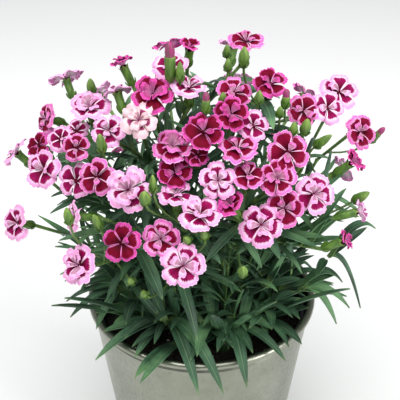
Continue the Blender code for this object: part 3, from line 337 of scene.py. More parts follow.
def on_dome(px, py, behind=0.0):
    """Where a sight line meets the dome, or passes it closest, moved back by some millimetres."""
    ray = sight_line(px, py)
    start = (EYE - DOME_CENTRE) / DOME_RADII
    step = ray / DOME_RADII
    a = step @ step
    b = start @ step
    c = start @ start - 1.0
    reach = (-b - math.sqrt(max(b * b - a * c, 0.0))) / a
    return EYE + ray * (reach + behind * MM)


def at_height(px, py, height):
    """Where a sight line comes down to a height given in millimetres."""
    ray = sight_line(px, py)
    return EYE + ray * ((height * MM - EYE[2]) / ray[2])


def facing(bearing, lean):
    turn = math.radians(bearing)
    tilt = math.radians(lean)
    return np.array([math.sin(tilt) * math.sin(turn), -math.sin(tilt) * math.cos(turn), math.cos(tilt)])


def square_to(axis, turn=0.0):
    """Two directions square to an axis and to each other, turned about it by some degrees."""
    guide = np.array([0.0, 1.0, 0.0]) if abs(axis[2]) > 0.9 else np.array([0.0, 0.0, 1.0])
    first = unit(np.cross(guide, axis))
    second = np.cross(axis, first)
    c = math.cos(math.radians(turn))
    s = math.sin(math.radians(turn))
    return first * c + second * s, second * c - first * s


def ring(centre, x, y, radius, count, start=0.0):
    """Points on a circle, from a starting angle in degrees."""
    angles = [math.radians(start + 360.0 * k / count) for k in range(count)]
    return [centre + (x * math.cos(a) + y * math.sin(a)) * radius for a in angles]


def loft(rings):
    """Triangles between rings, where one ring of a pair may have a few times the other's points."""
    points = [point for one in rings for point in one]
    faces = []
    start = 0
    for low, high in zip(rings, rings[1:]):
        above = start + len(low)
        count = max(len(low), len(high))
        for i in range(count):
            j = (i + 1) % count
            a = start + round(i * len(low) / count) % len(low)
            b = start + round(j * len(low) / count) % len(low)
            c = above + round(i * len(high) / count) % len(high)
            d = above + round(j * len(high) / count) % len(high)
            if a != b:
                faces.append((a, b, d))
            if c != d:
                faces.append((a, d, c))
        start = above
    for k in range(1, len(rings[0]) - 1):
        faces.append((0, k + 1, k))
    for k in range(1, len(rings[-1]) - 1):
        faces.append((start, start + k, start + k + 1))
    return points, faces


def bezier(control, t):
    points = [np.array(p) for p in control]
    while len(points) > 1:
        points = [a * (1 - t) + b * t for a, b in zip(points, points[1:])]
    return points[0]

# %% [markdown]
# ## Flower heads
# 
# A head keeps its middle, the way it faces and two directions across it. The coarse bloom is only
# a stand-in: it shows where the solid of the CAD model is, so that stems grow round it.

# %% Flower heads
# A flower head with its place and its own directions worked out
Head = namedtuple("Head", "name centre axis x y radius form tone bunch")


def crown_place(index):
    """The middle of a bunch's crown at the soil's surface."""
    bunch = BUNCHES[index]
    turn = math.radians(bunch.direction)
    return np.array([bunch.out * MM * math.cos(turn), bunch.out * MM * math.sin(turn), SOIL_TOP])


def bunch_of(point):
    """The bunch of stems that reaches a point: the middle one near the axis, else by direction."""
    out = math.hypot(point[0], point[1])
    if math.atan2(out, point[2] - SOIL_TOP) < MIDDLE_CONE:
        return 0
    turn = math.degrees(math.atan2(point[1], point[0]))
    gaps = [abs((bunch.direction - turn + 180) % 360 - 180) for bunch in BUNCHES[1:]]
    return 1 + gaps.index(min(gaps))


def make_head(number, centre, axis, radius, form, tone):
    x, y = square_to(axis, 137.5 * number)
    below = centre - axis * CALYX_NECK
    return Head(f"bloom_{number:02d}", centre, axis, x, y, radius, FORMS[form], tone, bunch_of(below))


def front_heads():
    heads = []
    for number, row in enumerate(BLOOMS, 1):
        centre = on_dome(row.px, row.py, row.behind)
        distance = np.linalg.norm(centre - EYE)
        radius = 0.5 * row.width * distance / FOCAL
        heads.append(make_head(number, centre, facing(row.bearing, row.lean), radius, row.form, row.tone))
    return heads


def far_heads(first):
    heads = []
    tones = ("pale", "pink", "pale", "magenta")
    for level, row in enumerate(FAR_ROWS):
        for k in range(row.count):
            share = (k + 0.5) / row.count * 2 - 1
            bearing = 180.0 + share * row.spread
            outward = facing(bearing, 90 - row.height)
            centre = DOME_CENTRE + outward * DOME_RADII * 0.97
            number = first + len(heads)
            tone = tones[(k + level) % len(tones)]
            heads.append(make_head(number, centre, facing(bearing, row.lean), FAR_WIDTH / 2, "plain", tone))
    return heads


def petal_ring(head, edge, radius, rise, base):
    """The toothed edge of a whorl of petals that rise by an angle from a base height."""
    c = math.cos(math.radians(rise))
    s = math.sin(math.radians(rise))
    points = []
    steps = len(edge) * PETALS
    for k in range(steps):
        share, wave = edge[k % len(edge)]
        turn = 2 * math.pi * k / steps
        out = radius * (share * c - wave * s)
        up = radius * (share * s + wave * c)
        side = head.x * math.cos(turn) + head.y * math.sin(turn)
        points.append(head.centre + side * out + head.axis * (up + base))
    return points


def bloom_shape(head):
    """A corolla as one closed skin: claw, under side, toothed edge, upper side and inner petals."""
    form = head.form
    tilt = math.radians(form.rise)
    waist_radius = max(HUB_RADIUS - HUB_THICKNESS * math.sin(tilt), 0.7 * MM)
    waist = -CLAW_TOP + HUB_THICKNESS * math.cos(tilt)
    rings = [
        [head.centre - head.axis * CLAW_TIP],
        ring(head.centre - head.axis * CLAW_TOP, head.x, head.y, HUB_RADIUS, PETALS),
        petal_ring(head, OUTER_EDGE, head.radius, form.rise, 0.0),
        ring(head.centre + head.axis * waist, head.x, head.y, waist_radius, PETALS),
    ]
    if form.inner_share:
        inner = head.radius * form.inner_share
        rings.append(petal_ring(head, INNER_EDGE, inner, form.inner_rise, waist))
        waist += 0.9 * MM
    else:
        waist += 0.3 * MM
    rings.append([head.centre + head.axis * waist])
    return loft(rings)

# %% [markdown]
# ## Coarse stems, buds and leaves
# 
# These few-sided shapes take the room that each piece of the CAD model takes. They are not shown.

# %% Coarse stems, buds and leaves
def stem_line(path, is_side_stem):
    """The few points that a stem's line is built through."""
    places = (0.0, 0.5, 1.0) if is_side_stem else (0.0, 0.38, 0.72, 1.0)
    return [bezier(path, t) for t in places]


def along_line(line, share):
    """The point at a share of a line's length, and the direction of the line there."""
    lengths = [float(np.linalg.norm(b - a)) for a, b in zip(line, line[1:])]
    left = share * sum(lengths)
    for a, b, length in zip(line, line[1:], lengths):
        if left <= length:
            break
        left -= length
    return a + (b - a) * min(left / length, 1.0), (b - a) / length


def rings_along(points, radii, x, y, sides):
    """Rings square to a path, carried back from given directions at its far end."""
    rings = []
    for k in range(len(points) - 1, -1, -1):
        ahead = points[min(k + 1, len(points) - 1)] - points[max(k - 1, 0)]
        ahead = unit(ahead)
        if k < len(points) - 1:
            x = unit(x - ahead * (x @ ahead))
            y = np.cross(ahead, x)
        rings.append(ring(points[k], x, y, radii[k], sides))
    return rings[::-1]


def stem_shape(head, path, is_side_stem):
    """A stem with the calyx at its end, hollowed for the bloom's claw."""
    points = stem_line(path, is_side_stem)[:-1]
    radii = [SIDE_STEM_RADIUS, STEM_RADIUS] if is_side_stem else [STEM_BASE_RADIUS, STEM_RADIUS, STEM_RADIUS]
    lengths = (CALYX_NECK, CALYX_BELLY, CALYX_MOUTH)
    points += [head.centre - head.axis * length for length in lengths]
    radii += [CALYX_NECK_RADIUS, CALYX_BELLY_RADIUS, CALYX_MOUTH_RADIUS]
    rings = rings_along(points, radii, head.x, head.y, PETALS)
    rings.append([head.centre - head.axis * CALYX_FLOOR])
    return loft(rings)


def bud_shape(path, axis, length, width, extra=0.0):
    """A closed bud on its side stem, pointed at the tip."""
    end = bezier(path, 1.0)
    points = [bezier(path, 0.0), bezier(path, 0.55), end, end + axis * length * 0.42]
    radii = [SIDE_STEM_RADIUS, 0.8 * MM, 1.0 * MM, width / 2]
    radii = [radius + extra for radius in radii]
    x, y = square_to(axis)
    rings = rings_along(points, radii, x, y, BUD_SIDES)
    rings.append([end + axis * length])
    return loft(rings)


def shoot_shape(path, extra=0.0):
    """A short leafy shoot's stem."""
    points = [bezier(path, t) for t in (0.0, 0.5, 1.0)]
    axis = unit(points[2] - points[1])
    x, y = square_to(axis)
    radii = [STEM_BASE_RADIUS + extra, STEM_RADIUS + extra, STEM_BASE_RADIUS + extra]
    return loft(rings_along(points, radii, x, y, 4))


def leaf_path(base, tip, arch):
    """A leaf's line: from its root to its tip, arched upwards."""
    middle = (base + tip) / 2 + np.array([0.0, 0.0, 2.0 * arch])
    return base, middle, tip


def leaf_shape(path, width, stations, extra=0.0):
    """A keeled blade: flat above, deepest along the middle, widest a third of the way up."""
    base, _, tip = path
    along = tip - base
    level = np.array([along[0], along[1], 0.0])
    if np.linalg.norm(level) < STEEP * np.linalg.norm(along):
        level = np.array([base[0], base[1], 0.0]) + np.array([0.0, -0.001, 0.0])
    side = unit(np.cross(level, np.array([0.0, 0.0, 1.0])))
    rings = []
    for t, share in stations:
        centre = bezier(path, t)
        ahead = unit(bezier(path, t + 0.02) - centre)
        across = unit(side - ahead * (side @ ahead))
        up = np.cross(across, ahead)
        half = across * (width * share / 2 + extra)
        keel = centre - up * (LEAF_THICKNESS * share + extra)
        rings.append([centre + half + up * extra, keel, centre - half + up * extra])
    rings.append([tip])
    return loft(rings)

# %% [markdown]
# ## Growing the plant
# 
# Each piece tries some ways until one crosses nothing that is there already. The order is that of
# the CAD model, so each fine piece ends up inside its own solid's place.

# %% Grow the plant
Solid = namedtuple("Solid", "points faces bunch low high tree")

# A stem that others can grow from: the points of its line, its bunch, its place among the green solids
Stem = namedtuple("Stem", "line bunch index")

# A way for a new stem: its curve, its bunch, the green solid it grows from, and whether that is a stem
Way = namedtuple("Way", "path bunch host from_stem")


def solid_of(shape, bunch):
    points, faces = shape
    array = np.array(points)
    tree = BVHTree.FromPolygons([Vector(p) for p in points], faces)
    return Solid(points, faces, bunch, array.min(axis=0), array.max(axis=0), tree)


def crosses(solid, other):
    if (solid.low > other.high).any() or (other.low > solid.high).any():
        return False
    return bool(solid.tree.overlap(other.tree))


LEAF_CHECKS = (0.25, 0.4, 0.55, 0.7, 0.85, 1.0)


def along_leaf(path):
    """Points along a leaf, from which its way past the pot is judged."""
    return [bezier(path, t) for t in LEAF_CHECKS]


def clears_pot(points):
    """True where nothing reaches into the rim, the inner pot or the soil."""
    for x, y, z in points:
        out = math.hypot(x, y)
        if out < RIM_RADIUS - 8 * MM and z < SOIL_TOP + 3 * MM:
            return False
        if RIM_RADIUS - 8 * MM <= out < RIM_RADIUS + 2.5 * MM and z < POT_HEIGHT + 1.5 * MM:
            return False
    return True


# Buds whose petals show, and what a fine shape is later drawn from
PINK_TIPPED = ((206, 103), (286, 99), (298, 165), (377, 135))
Item = namedtuple("Item", "kind bunch path detail")


class Plant:
    """Everything green and every bloom, placed one by one so that no two nodes cross."""

    def __init__(self):
        self.heads = front_heads()
        self.heads += far_heads(len(self.heads) + 1)
        self.blooms = [solid_of(bloom_shape(head), -1) for head in self.heads]
        self.greens = []
        self.items = []
        self.stems = []
        self.shoots = {}

    def is_clear(self, solid, hosts, strict=True):
        """True where a solid crosses no bloom and no green but its hosts, or but its whole bunch."""
        if any(crosses(solid, bloom) for bloom in self.blooms):
            return False
        for index, green in enumerate(self.greens):
            if index in hosts or (green.bunch == solid.bunch and not strict):
                continue
            if crosses(solid, green):
                return False
        return True

    def keep(self, shape, bunch):
        self.greens.append(solid_of(shape, bunch))
        return len(self.greens) - 1

    def add_crowns(self):
        for index in range(len(BUNCHES)):
            self.keep(crown_shape(crown_place(index), 0.0), index)

    def crown_paths(self, head):
        """Ways from the crowns near a bloom, up and outwards, and into the back of its calyx."""
        end = head.centre - head.axis * CALYX_NECK
        order = sorted(range(len(BUNCHES)), key=lambda k: crown_gap(head, k))
        order = [head.bunch] + [k for k in order[:3] if k != head.bunch]
        for bunch in order:
            for sway in STEM_SWAYS:
                for spot in range(CROWN_SPOTS):
                    start = crown_spot(bunch, spot)
                    across = end - start
                    height = max(across[2], 20 * MM)
                    side = unit(np.cross(across, np.array([1e-6, 0.0, 1.0])))
                    lift = np.array([across[0] * 0.22, across[1] * 0.22, 0.5 * height])
                    behind = end - head.axis * (0.30 * np.linalg.norm(across))
                    path = (start, start + lift + side * sway * MM, behind, end)
                    yield Way(path, bunch, bunch, False)

    def branch_paths(self, head):
        """Ways from the stems near a bloom into the back of its calyx."""
        end = head.centre - head.axis * CALYX_NECK
        wanted = end - np.array([0.0, 0.0, 22 * MM]) - (end - CROWN_MIDDLE) * 0.12
        for stem, t in self.nearest_stems(wanted)[:14]:
            start, along = along_line(stem.line, t)
            length = np.linalg.norm(end - start)
            if SIDE_STEM_SHORTEST < length < SIDE_STEM_LONGEST:
                path = (start, start + along * 0.35 * length, end - head.axis * 0.35 * length, end)
                yield Way(path, stem.bunch, stem.index, True)

    def add_stems(self):
        """Outer and upper blooms get a stem from a crown, the rest a side stem where one fits."""
        order = sorted(self.heads, key=lambda head: -np.linalg.norm(head.centre - CROWN_MIDDLE))
        for rank, head in enumerate(order):
            ways = list(self.crown_paths(head))
            branches = list(self.branch_paths(head))
            own = [way for way in branches if way.bunch == head.bunch]
            ways = own + ways + branches if rank % 3 else ways + branches
            if not self.try_stem(head, ways, True):
                self.try_stem(head, ways, False)

    def try_stem(self, head, ways, strict):
        """Keeps the first of some ways for a bloom's stem that crosses nothing."""
        for way in ways:
            shape = stem_shape(head, way.path, way.from_stem)
            if self.is_clear(solid_of(shape, way.bunch), (way.host,), strict):
                index = self.keep(shape, way.bunch)
                self.items.append(Item("stem", way.bunch, way.path, (head, way.from_stem)))
                self.stems.append(Stem(stem_line(way.path, way.from_stem), way.bunch, index))
                return True
        return False

    def nearest_stems(self, point, places=(0.35, 0.45, 0.55, 0.65, 0.75, 0.85)):
        """Stems and the places along them, nearest to a point first."""
        found = []
        for number, stem in enumerate(self.stems):
            for t in places:
                found.append((float(np.linalg.norm(along_line(stem.line, t)[0] - point)), number, t))
        found.sort()
        return [(self.stems[number], t) for _, number, t in found]

    def bud_ways(self, row):
        """Places for a bud, nearer or farther along its sight line, each with a stem to grow from."""
        axis = facing(row.bearing, row.lean)
        for shift in (0, 2, -2, 4, -4, 7, 10):
            end = on_dome(row.px, row.py, row.behind + shift) - axis * row.length * 0.5 * MM
            for stem, t in self.nearest_stems(end - np.array([0.0, 0.0, 18 * MM]))[:16]:
                root = along_line(stem.line, t)[0]
                yield stem, axis, (root, end - axis * 0.4 * np.linalg.norm(end - root), end)

    def add_buds(self):
        for row in BUDS:
            length = row.length * MM
            width = row.width * MM
            for stem, axis, path in self.bud_ways(row):
                shape = bud_shape(path, axis, length, width, 0.15 * MM)
                if self.is_clear(solid_of(shape, stem.bunch), (stem.index,)):
                    self.keep(bud_shape(path, axis, length, width), stem.bunch)
                    detail = (axis, length, width, (row.px, row.py) in PINK_TIPPED)
                    self.items.append(Item("bud", stem.bunch, path, detail))
                    break

    def add_shoots(self):
        for name, row in SHOOTS.items():
            top = at_height(row.px, row.py, row.height)
            order = sorted(range(len(BUNCHES)), key=lambda k: np.linalg.norm(crown_place(k) - top))
            ways = [(bunch, spot, strict) for strict in (True, False) for bunch in order[:3]
                    for spot in range(CROWN_SPOTS)]
            for bunch, spot, strict in ways:
                start = crown_spot(bunch, spot)
                path = (start, (start + top) / 2 + np.array([0.0, 0.0, 6 * MM]), top)
                if self.is_clear(solid_of(shoot_shape(path, 0.1 * MM), bunch), (bunch,), strict):
                    index = self.keep(shoot_shape(path), bunch)
                    self.items.append(Item("shoot", bunch, path, None))
                    self.shoots[name] = Stem([bezier(path, t) for t in (0.0, 0.5, 1.0)], bunch, index)
                    break

    def hides_bloom(self, path):
        """True where the eye sees a bloom of the front behind a leaf."""
        for t in (0.5, 0.75, 1.0):
            point = bezier(path, t)
            ray = Vector(unit(point - EYE))
            if any(bloom.tree.ray_cast(Vector(point), ray)[0] for bloom in self.blooms[:len(BLOOMS)]):
                return True
        return False

    def try_leaf(self, ways, width, bunch, hosts, strict=True, stations=LEAF_STATIONS, drawn=False):
        """Keeps the first leaf of some roots, tips and arches that crosses nothing. A drawn leaf hides
        no bloom of the front either."""
        for root, tip, arch in ways:
            path = leaf_path(root, tip, arch)
            if not clears_pot(along_leaf(path)) or (drawn and self.hides_bloom(path)):
                continue
            fat = solid_of(leaf_shape(path, width, stations, CLEARANCE / 2), bunch)
            if self.is_clear(fat, hosts, strict):
                self.keep(leaf_shape(path, width, stations), bunch)
                self.items.append(Item("leaf", bunch, path, width))
                return True
        return False

    def add_leaves(self):
        """The leaves of the young shoots, set round each shoot's top and down its stem."""
        counts = {}
        for row in LEAVES:
            shoot = self.shoots[row.shoot]
            place = counts.get(row.shoot, 0)
            counts[row.shoot] = place + 1
            top, along = along_line(shoot.line, 1.0)
            ways = []
            for step in (place, place + 0.5, place + 1):
                for more in (0, 3, 6, 10, -2):
                    for sideways, lower in ((0, 0), (3, 0), (-3, 0), (0, 4), (0, -4)):
                        tip = at_height(row.px + sideways, row.py + lower, row.height)
                        out = tip - top
                        out = unit(out - along * (out @ along))
                        root = top - along * (step * 1.7 + 0.4) * MM + out * 0.2 * MM
                        ways.append((root, tip, (row.arch + more) * MM))
            width = row.width * MM
            hosts = (shoot.index, shoot.bunch)
            if not self.try_leaf(ways, width, shoot.bunch, hosts):
                self.try_leaf(ways, width, shoot.bunch, hosts, strict=False)

    def add_dome_leaves(self):
        for row in DOME_LEAVES:
            base = on_dome(row.base_px, row.base_py, row.base_behind)
            tip = on_dome(row.tip_px, row.tip_py, row.tip_behind)
            toward = facing(0, 55)
            tips = (tip, tip + toward * 4 * MM, tip - toward * 5 * MM)
            for stem, t in self.nearest_stems(base)[:10]:
                root = along_line(stem.line, t)[0]
                ways = [(root, end, arch * MM) for end in tips for arch in (2, 0, 5)]
                if self.try_leaf(ways, row.width * MM, stem.bunch, (stem.index,)):
                    break

    def add_stem_leaves(self, draw):
        """Pairs of leaves at the joints of the stems."""
        for stem in self.stems:
            for t in STEM_LEAF_PLACES:
                root, along = along_line(stem.line, t)
                x, y = square_to(along, draw.uniform(0, 360))
                if draw.random() > STEM_LEAF_SHARE:
                    continue
                for sign in (1, -1):
                    length = draw.uniform(*STEM_LEAF_LENGTHS) * MM
                    width = draw.uniform(*STEM_LEAF_WIDTHS) * MM
                    ways = []
                    for turn in (0, 30, -30, 60, -60):
                        c = math.cos(math.radians(turn))
                        s = math.sin(math.radians(turn))
                        out = (x * c + y * s) * sign
                        drop = np.array([0, 0, 0.2 * length])
                        tip = root + (along * 0.55 + out * 0.8) * length - drop
                        ways += [(root, tip, 4 * MM), (root, tip, 7 * MM)]
                    self.try_leaf(ways, width, stem.bunch, (stem.index,), True, SMALL_LEAF_STATIONS, True)

    def add_skirt(self, draw):
        """Leaves that arch out from the crowns and over the rim, on every side."""
        for k in range(SKIRT_COUNT):
            turn = math.radians(360.0 * k / SKIRT_COUNT + draw.uniform(-5, 5))
            out = np.array([math.cos(turn), math.sin(turn), 0.0])
            bunch = bunch_of(out + np.array([0.0, 0.0, SOIL_TOP]))
            reach = draw.uniform(*SKIRT_REACHES) * MM
            drop = draw.uniform(*SKIRT_DROPS) * MM
            width = draw.uniform(*SKIRT_WIDTHS) * MM
            ways = []
            for swing in (0, 6, -6, 12, -12):
                angle = turn + math.radians(swing)
                side = np.array([math.cos(angle), math.sin(angle), 0.0])
                for shorter in (1.0, 0.85):
                    tip = side * reach * shorter + np.array([0.0, 0.0, POT_HEIGHT + 6 * MM + drop])
                    root = crown_place(bunch) + np.array([0.0, 0.0, 5 * MM]) + out * 4 * MM
                    ways += [(root, tip, arch * MM) for arch in (12, 18, 24)]
            self.try_leaf(ways, width, bunch, (bunch,))

    def add_tufts(self, draw):
        """Upright leaves from the crowns, which fill the plant between the soil and the blooms."""
        for _ in range(TUFT_LEAVES):
            for index, bunch in enumerate(BUNCHES):
                spread = draw.uniform(-32, 32) if bunch.out > 10 else draw.uniform(-180, 180)
                lean = draw.uniform(*TUFT_LEANS)
                length = draw.uniform(*TUFT_LENGTHS) * MM
                width = draw.uniform(*TUFT_WIDTHS) * MM
                ways = []
                for turn, tip_over in ((0, 0), (10, 6), (-10, 6), (20, 12), (-20, 12), (0, 18), (0, -10)):
                    direction = facing(bunch.direction + 90 + spread + turn, lean + tip_over)
                    root = crown_place(index) + np.array([0, 0, 5 * MM]) + direction * 3 * MM
                    ways.append((root, root + direction * length, 5 * MM))
                if not self.try_leaf(ways, width, index, (index,), True, SMALL_LEAF_STATIONS, True):
                    self.try_leaf(ways, width, index, (index,), False, SMALL_LEAF_STATIONS, True)

    def grow(self):
        draw = random.Random(SEED)
        self.add_crowns()
        self.add_stems()
        self.add_buds()
        self.add_shoots()
        self.add_leaves()
        self.add_dome_leaves()
        self.add_skirt(draw)
        self.add_tufts(draw)
        self.add_stem_leaves(draw)


def crown_gap(head, index):
    """How far a crown is from under a flower head, seen from above."""
    return float(np.linalg.norm((crown_place(index) * 2.2 - head.centre)[:2]))


def crown_spot(bunch, spot):
    """Where a stem leaves its crown: spots in a spiral, the first in the middle."""
    turn = math.radians(137.5 * spot)
    out = min(1.55 * math.sqrt(spot), 5.5) * MM
    return crown_place(bunch) + np.array([out * math.cos(turn), out * math.sin(turn), 3 * MM])


def crown_shape(place, extra):
    """The woody foot of a bunch of stems: a peg that stands in its hole in the soil."""
    x = np.array([1.0, 0.0, 0.0])
    y = np.array([0.0, 1.0, 0.0])
    up = np.array([0.0, 0.0, 1.0])
    rings = [
        ring(place - up * (CROWN_DEPTH + extra), x, y, 0.6 * CROWN_RADIUS + extra, 6),
        ring(place + up * 1.0 * MM, x, y, CROWN_RADIUS + extra, 6),
        ring(place + up * CROWN_RISE, x, y, 0.75 * CROWN_RADIUS + extra, 6),
    ]
    return loft(rings)

# %% Place every piece
plant = Plant()
plant.grow()
kinds = [item.kind for item in plant.items]
print("blooms:", len(plant.heads), "placed:", {kind: kinds.count(kind) for kind in sorted(set(kinds))})

# %% [markdown]
# ## Gathering many small shapes in one piece
#
# A bunch of stems has thousands of faces in hundreds of small shapes. Joining objects one by one is slow,
# so a sheaf gathers their points and faces and makes one mesh at the end. It also keeps a UV place and one
# number for each point, which the materials read: where on a petal a point lies, or how ripe a stem is.

# %% A sheaf of small shapes
class Sheaf:
    """Points, faces, UV places and one number a point, gathered from small shapes."""

    def __init__(self):
        self.points = []
        self.faces = []
        self.places = []
        self.values = []

    def add(self, points, faces, places, values):
        first = len(self.points)
        self.points += [tuple(point) for point in points]
        self.faces += [tuple(first + k for k in face) for face in faces]
        self.places += [tuple(place) for place in places]
        self.values += [float(value) for value in values]

    def make(self, name, material, nodes, smooth):
        """One object from all of it, with its finish, hung on the body in the place of CAD nodes."""
        mesh = bpy.data.meshes.new(name)
        mesh.from_pydata(self.points, [], self.faces)
        corners = np.zeros(len(mesh.loops), dtype=np.int32)
        mesh.loops.foreach_get("vertex_index", corners)
        layer = mesh.uv_layers.new(name="place")
        layer.uv.foreach_set("vector", np.array(self.places, dtype=np.float32)[corners].ravel())
        mesh.attributes.new("value", "FLOAT", "POINT").data.foreach_set("value", self.values)
        item = bpy.data.objects.new(name, mesh)
        bpy.context.scene.collection.objects.link(item)
        finish_piece(item, material, nodes, smooth)


def select_only(item):
    bpy.ops.object.select_all(action="DESELECT")
    item.select_set(True)
    bpy.context.view_layer.objects.active = item


def finish_piece(item, material, nodes, smooth):
    """Shades a piece, gives it its finish, hangs it on the body and hides the CAD nodes it stands in for."""
    item.data.materials.clear()
    item.data.materials.append(material)
    select_only(item)
    bpy.ops.object.shade_smooth_by_angle(angle=math.radians(smooth))
    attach(item, "root")
    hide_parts(*nodes)


def nodes_for(kind, number):
    """The CAD nodes that hold a bloom: a node may hold several that grow into each other."""
    return [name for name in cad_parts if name.startswith(kind) and number in name.split("_")]


# %% [markdown]
# ## Nodes for the finishes
#
# Living things are never one flat colour. Each finish below is a short chain: a noise in the piece's own
# coordinates, a ramp that turns it into colours, and a bump from the same noise. A few helpers keep the
# chains readable.

# %% Helpers for node chains
def hex_colour(text):
    """A colour from six hex digits, in the linear values that a shader takes."""
    parts = [int(text[k:k + 2], 16) / 255 for k in (0, 2, 4)]
    return (*[c / 12.92 if c < 0.04045 else ((c + 0.055) / 1.055) ** 2.4 for c in parts], 1.0)


class Finish:
    """A material and the nodes that are added to it."""

    def __init__(self, name, roughness, **sockets):
        self.material = bpy.data.materials.new(name)
        self.material.use_nodes = True
        self.tree = self.material.node_tree
        self.shader = self.tree.nodes["Principled BSDF"]
        self.shader.inputs["Roughness"].default_value = roughness
        for socket, value in sockets.items():
            self.shader.inputs[socket.replace("_", " ")].default_value = value

    def node(self, kind, inputs=None, **settings):
        """A new node, with its settings, and its inputs linked or set by name or number."""
        made = self.tree.nodes.new(kind)
        for key, value in settings.items():
            setattr(made, key, value)
        for key, value in (inputs or {}).items():
            if isinstance(value, bpy.types.NodeSocket):
                self.tree.links.new(value, made.inputs[key])
            else:
                made.inputs[key].default_value = value
        return made

    def place(self, source, scale=(1, 1, 1)):
        """Coordinates of the piece: Object or UV, stretched along each direction."""
        start = self.node("ShaderNodeTexCoord").outputs[source]
        return self.node("ShaderNodeMapping", {"Vector": start, "Scale": scale}).outputs["Vector"]

    def noise(self, vector, scale, detail=3.0, roughness=0.5):
        inputs = {"Vector": vector, "Scale": scale, "Detail": detail, "Roughness": roughness}
        return self.node("ShaderNodeTexNoise", inputs).outputs["Fac"]

    def value(self):
        return self.node("ShaderNodeAttribute", attribute_name="value").outputs["Fac"]

    def sum(self, a, b, operation="ADD"):
        return self.node("ShaderNodeMath", {0: a, 1: b}, operation=operation).outputs[0]

    def spread(self, value, low, high, to_low=0.0, to_high=1.0):
        inputs = {"Value": value, "From Min": low, "From Max": high, "To Min": to_low, "To Max": to_high}
        return self.node("ShaderNodeMapRange", inputs, interpolation_type="SMOOTHSTEP").outputs["Result"]

    def ramp(self, value, *stops):
        ramp = self.node("ShaderNodeValToRGB", {"Fac": value})
        elements = ramp.color_ramp.elements
        while len(elements) < len(stops):
            elements.new(0.5)
        for element, (position, colour) in zip(elements, stops):
            element.position = position
            element.color = hex_colour(colour)
        return ramp.outputs["Color"]

    def mix(self, factor, a, b):
        made = self.node("ShaderNodeMix", data_type="RGBA")
        for socket, value in ((made.inputs[0], factor), (made.inputs[6], a), (made.inputs[7], b)):
            if isinstance(value, bpy.types.NodeSocket):
                self.tree.links.new(value, socket)
            else:
                socket.default_value = value
        return made.outputs[2]

    def colour(self, colour):
        self.tree.links.new(colour, self.shader.inputs["Base Color"])

    def bump(self, height, strength, distance):
        inputs = {"Height": height, "Strength": strength, "Distance": distance}
        made = self.node("ShaderNodeBump", inputs)
        self.tree.links.new(made.outputs["Normal"], self.shader.inputs["Normal"])


# %% [markdown]
# ## The petals' colours
#
# Each petal has its own deep crimson eye, a wedge that ends in a ragged line. A light margin runs all
# round it, so pale lines part the petals like spokes, and the outer margin is pinker. The underside has
# no eye and is pink all over. The petal's UV map says how far out and how far aside a point lies, and
# a streaky noise moves the eye's edge in and out. The blooms differ in margin and reach, so one finish
# has four tones.

# %% Petal finishes
Tone = namedtuple("Tone", "margin edge eye heart reach aside")
TONES = {
    "magenta": Tone("C0268A", "EE86CA", "68001E", "3C000C", 0.84, 0.92),
    "pink": Tone("D44CAC", "F8BEE2", "720026", "440010", 0.78, 0.88),
    "pale": Tone("E68ECC", "FBDCF2", "88044A", "52021E", 0.70, 0.82),
    "cream": Tone("DDB2C0", "EBD2D2", "9C3C6C", "6A1C40", 0.58, 0.72),
}


UNDERSIDE_FOOT = "EA9CCC"


def petal_finish(name, tone):
    finish = Finish("petals_" + name, 0.65, Specular_IOR_Level=0.08)
    streaks = finish.noise(finish.place("UV", (9, 0.8, 1)), 3.0, 4.0, 0.6)
    patches = finish.noise(finish.place("Object"), 60.0)
    place = finish.node("ShaderNodeSeparateXYZ", {0: finish.place("UV")}).outputs
    out = place["Y"]
    off_middle = finish.sum(finish.sum(place["X"], 0.5, "SUBTRACT"), 0.0, "ABSOLUTE")
    aside = finish.sum(off_middle, 2.0 / tone.aside, "MULTIPLY")
    beyond = finish.sum(out, 1.0 / tone.reach, "MULTIPLY")
    ragged = finish.sum(beyond, finish.spread(streaks, 0.3, 0.7, -0.05, 0.05))
    ragged = finish.sum(ragged, finish.spread(patches, 0.3, 0.7, -0.10, 0.10))
    outline = finish.sum(ragged, aside, "MAXIMUM")
    margin = finish.mix(finish.spread(out, 0.5, 1.0), hex_colour(tone.edge), hex_colour(tone.margin))
    margin = finish.mix(finish.spread(streaks, 0.45, 0.75, 0.0, 0.5), margin, hex_colour(tone.edge))
    eye = finish.ramp(out, (0.15, tone.heart), (0.55, tone.eye))
    eye = finish.mix(finish.spread(streaks, 0.55, 0.8, 0.0, 0.22), eye, hex_colour(tone.margin))
    upper = finish.mix(finish.spread(outline, 0.93, 1.05), eye, margin)
    upper = finish.mix(finish.spread(out, 0.93, 1.0, 0.0, 0.8), upper, hex_colour(tone.edge))
    under = finish.ramp(out, (0.1, UNDERSIDE_FOOT), (0.45, tone.edge), (0.95, tone.margin))
    finish.colour(finish.mix(finish.value(), upper, under))
    finish.bump(streaks, 0.5, 0.0006)
    return finish.material


petal_finishes = {name: petal_finish(name, tone) for name, tone in TONES.items()}
print("petal finishes:", sorted(petal_finishes))

# %% [markdown]
# ## The green finishes
#
# A pink's leaves have a blue-grey bloom of wax over dark green and a paler midrib. Stems are darker with
# light joints, and the calyces and buds are a fresher, yellower green. One finish serves all of these:
# the number that each point carries runs from stem to joint to calyx to a bud's petals.

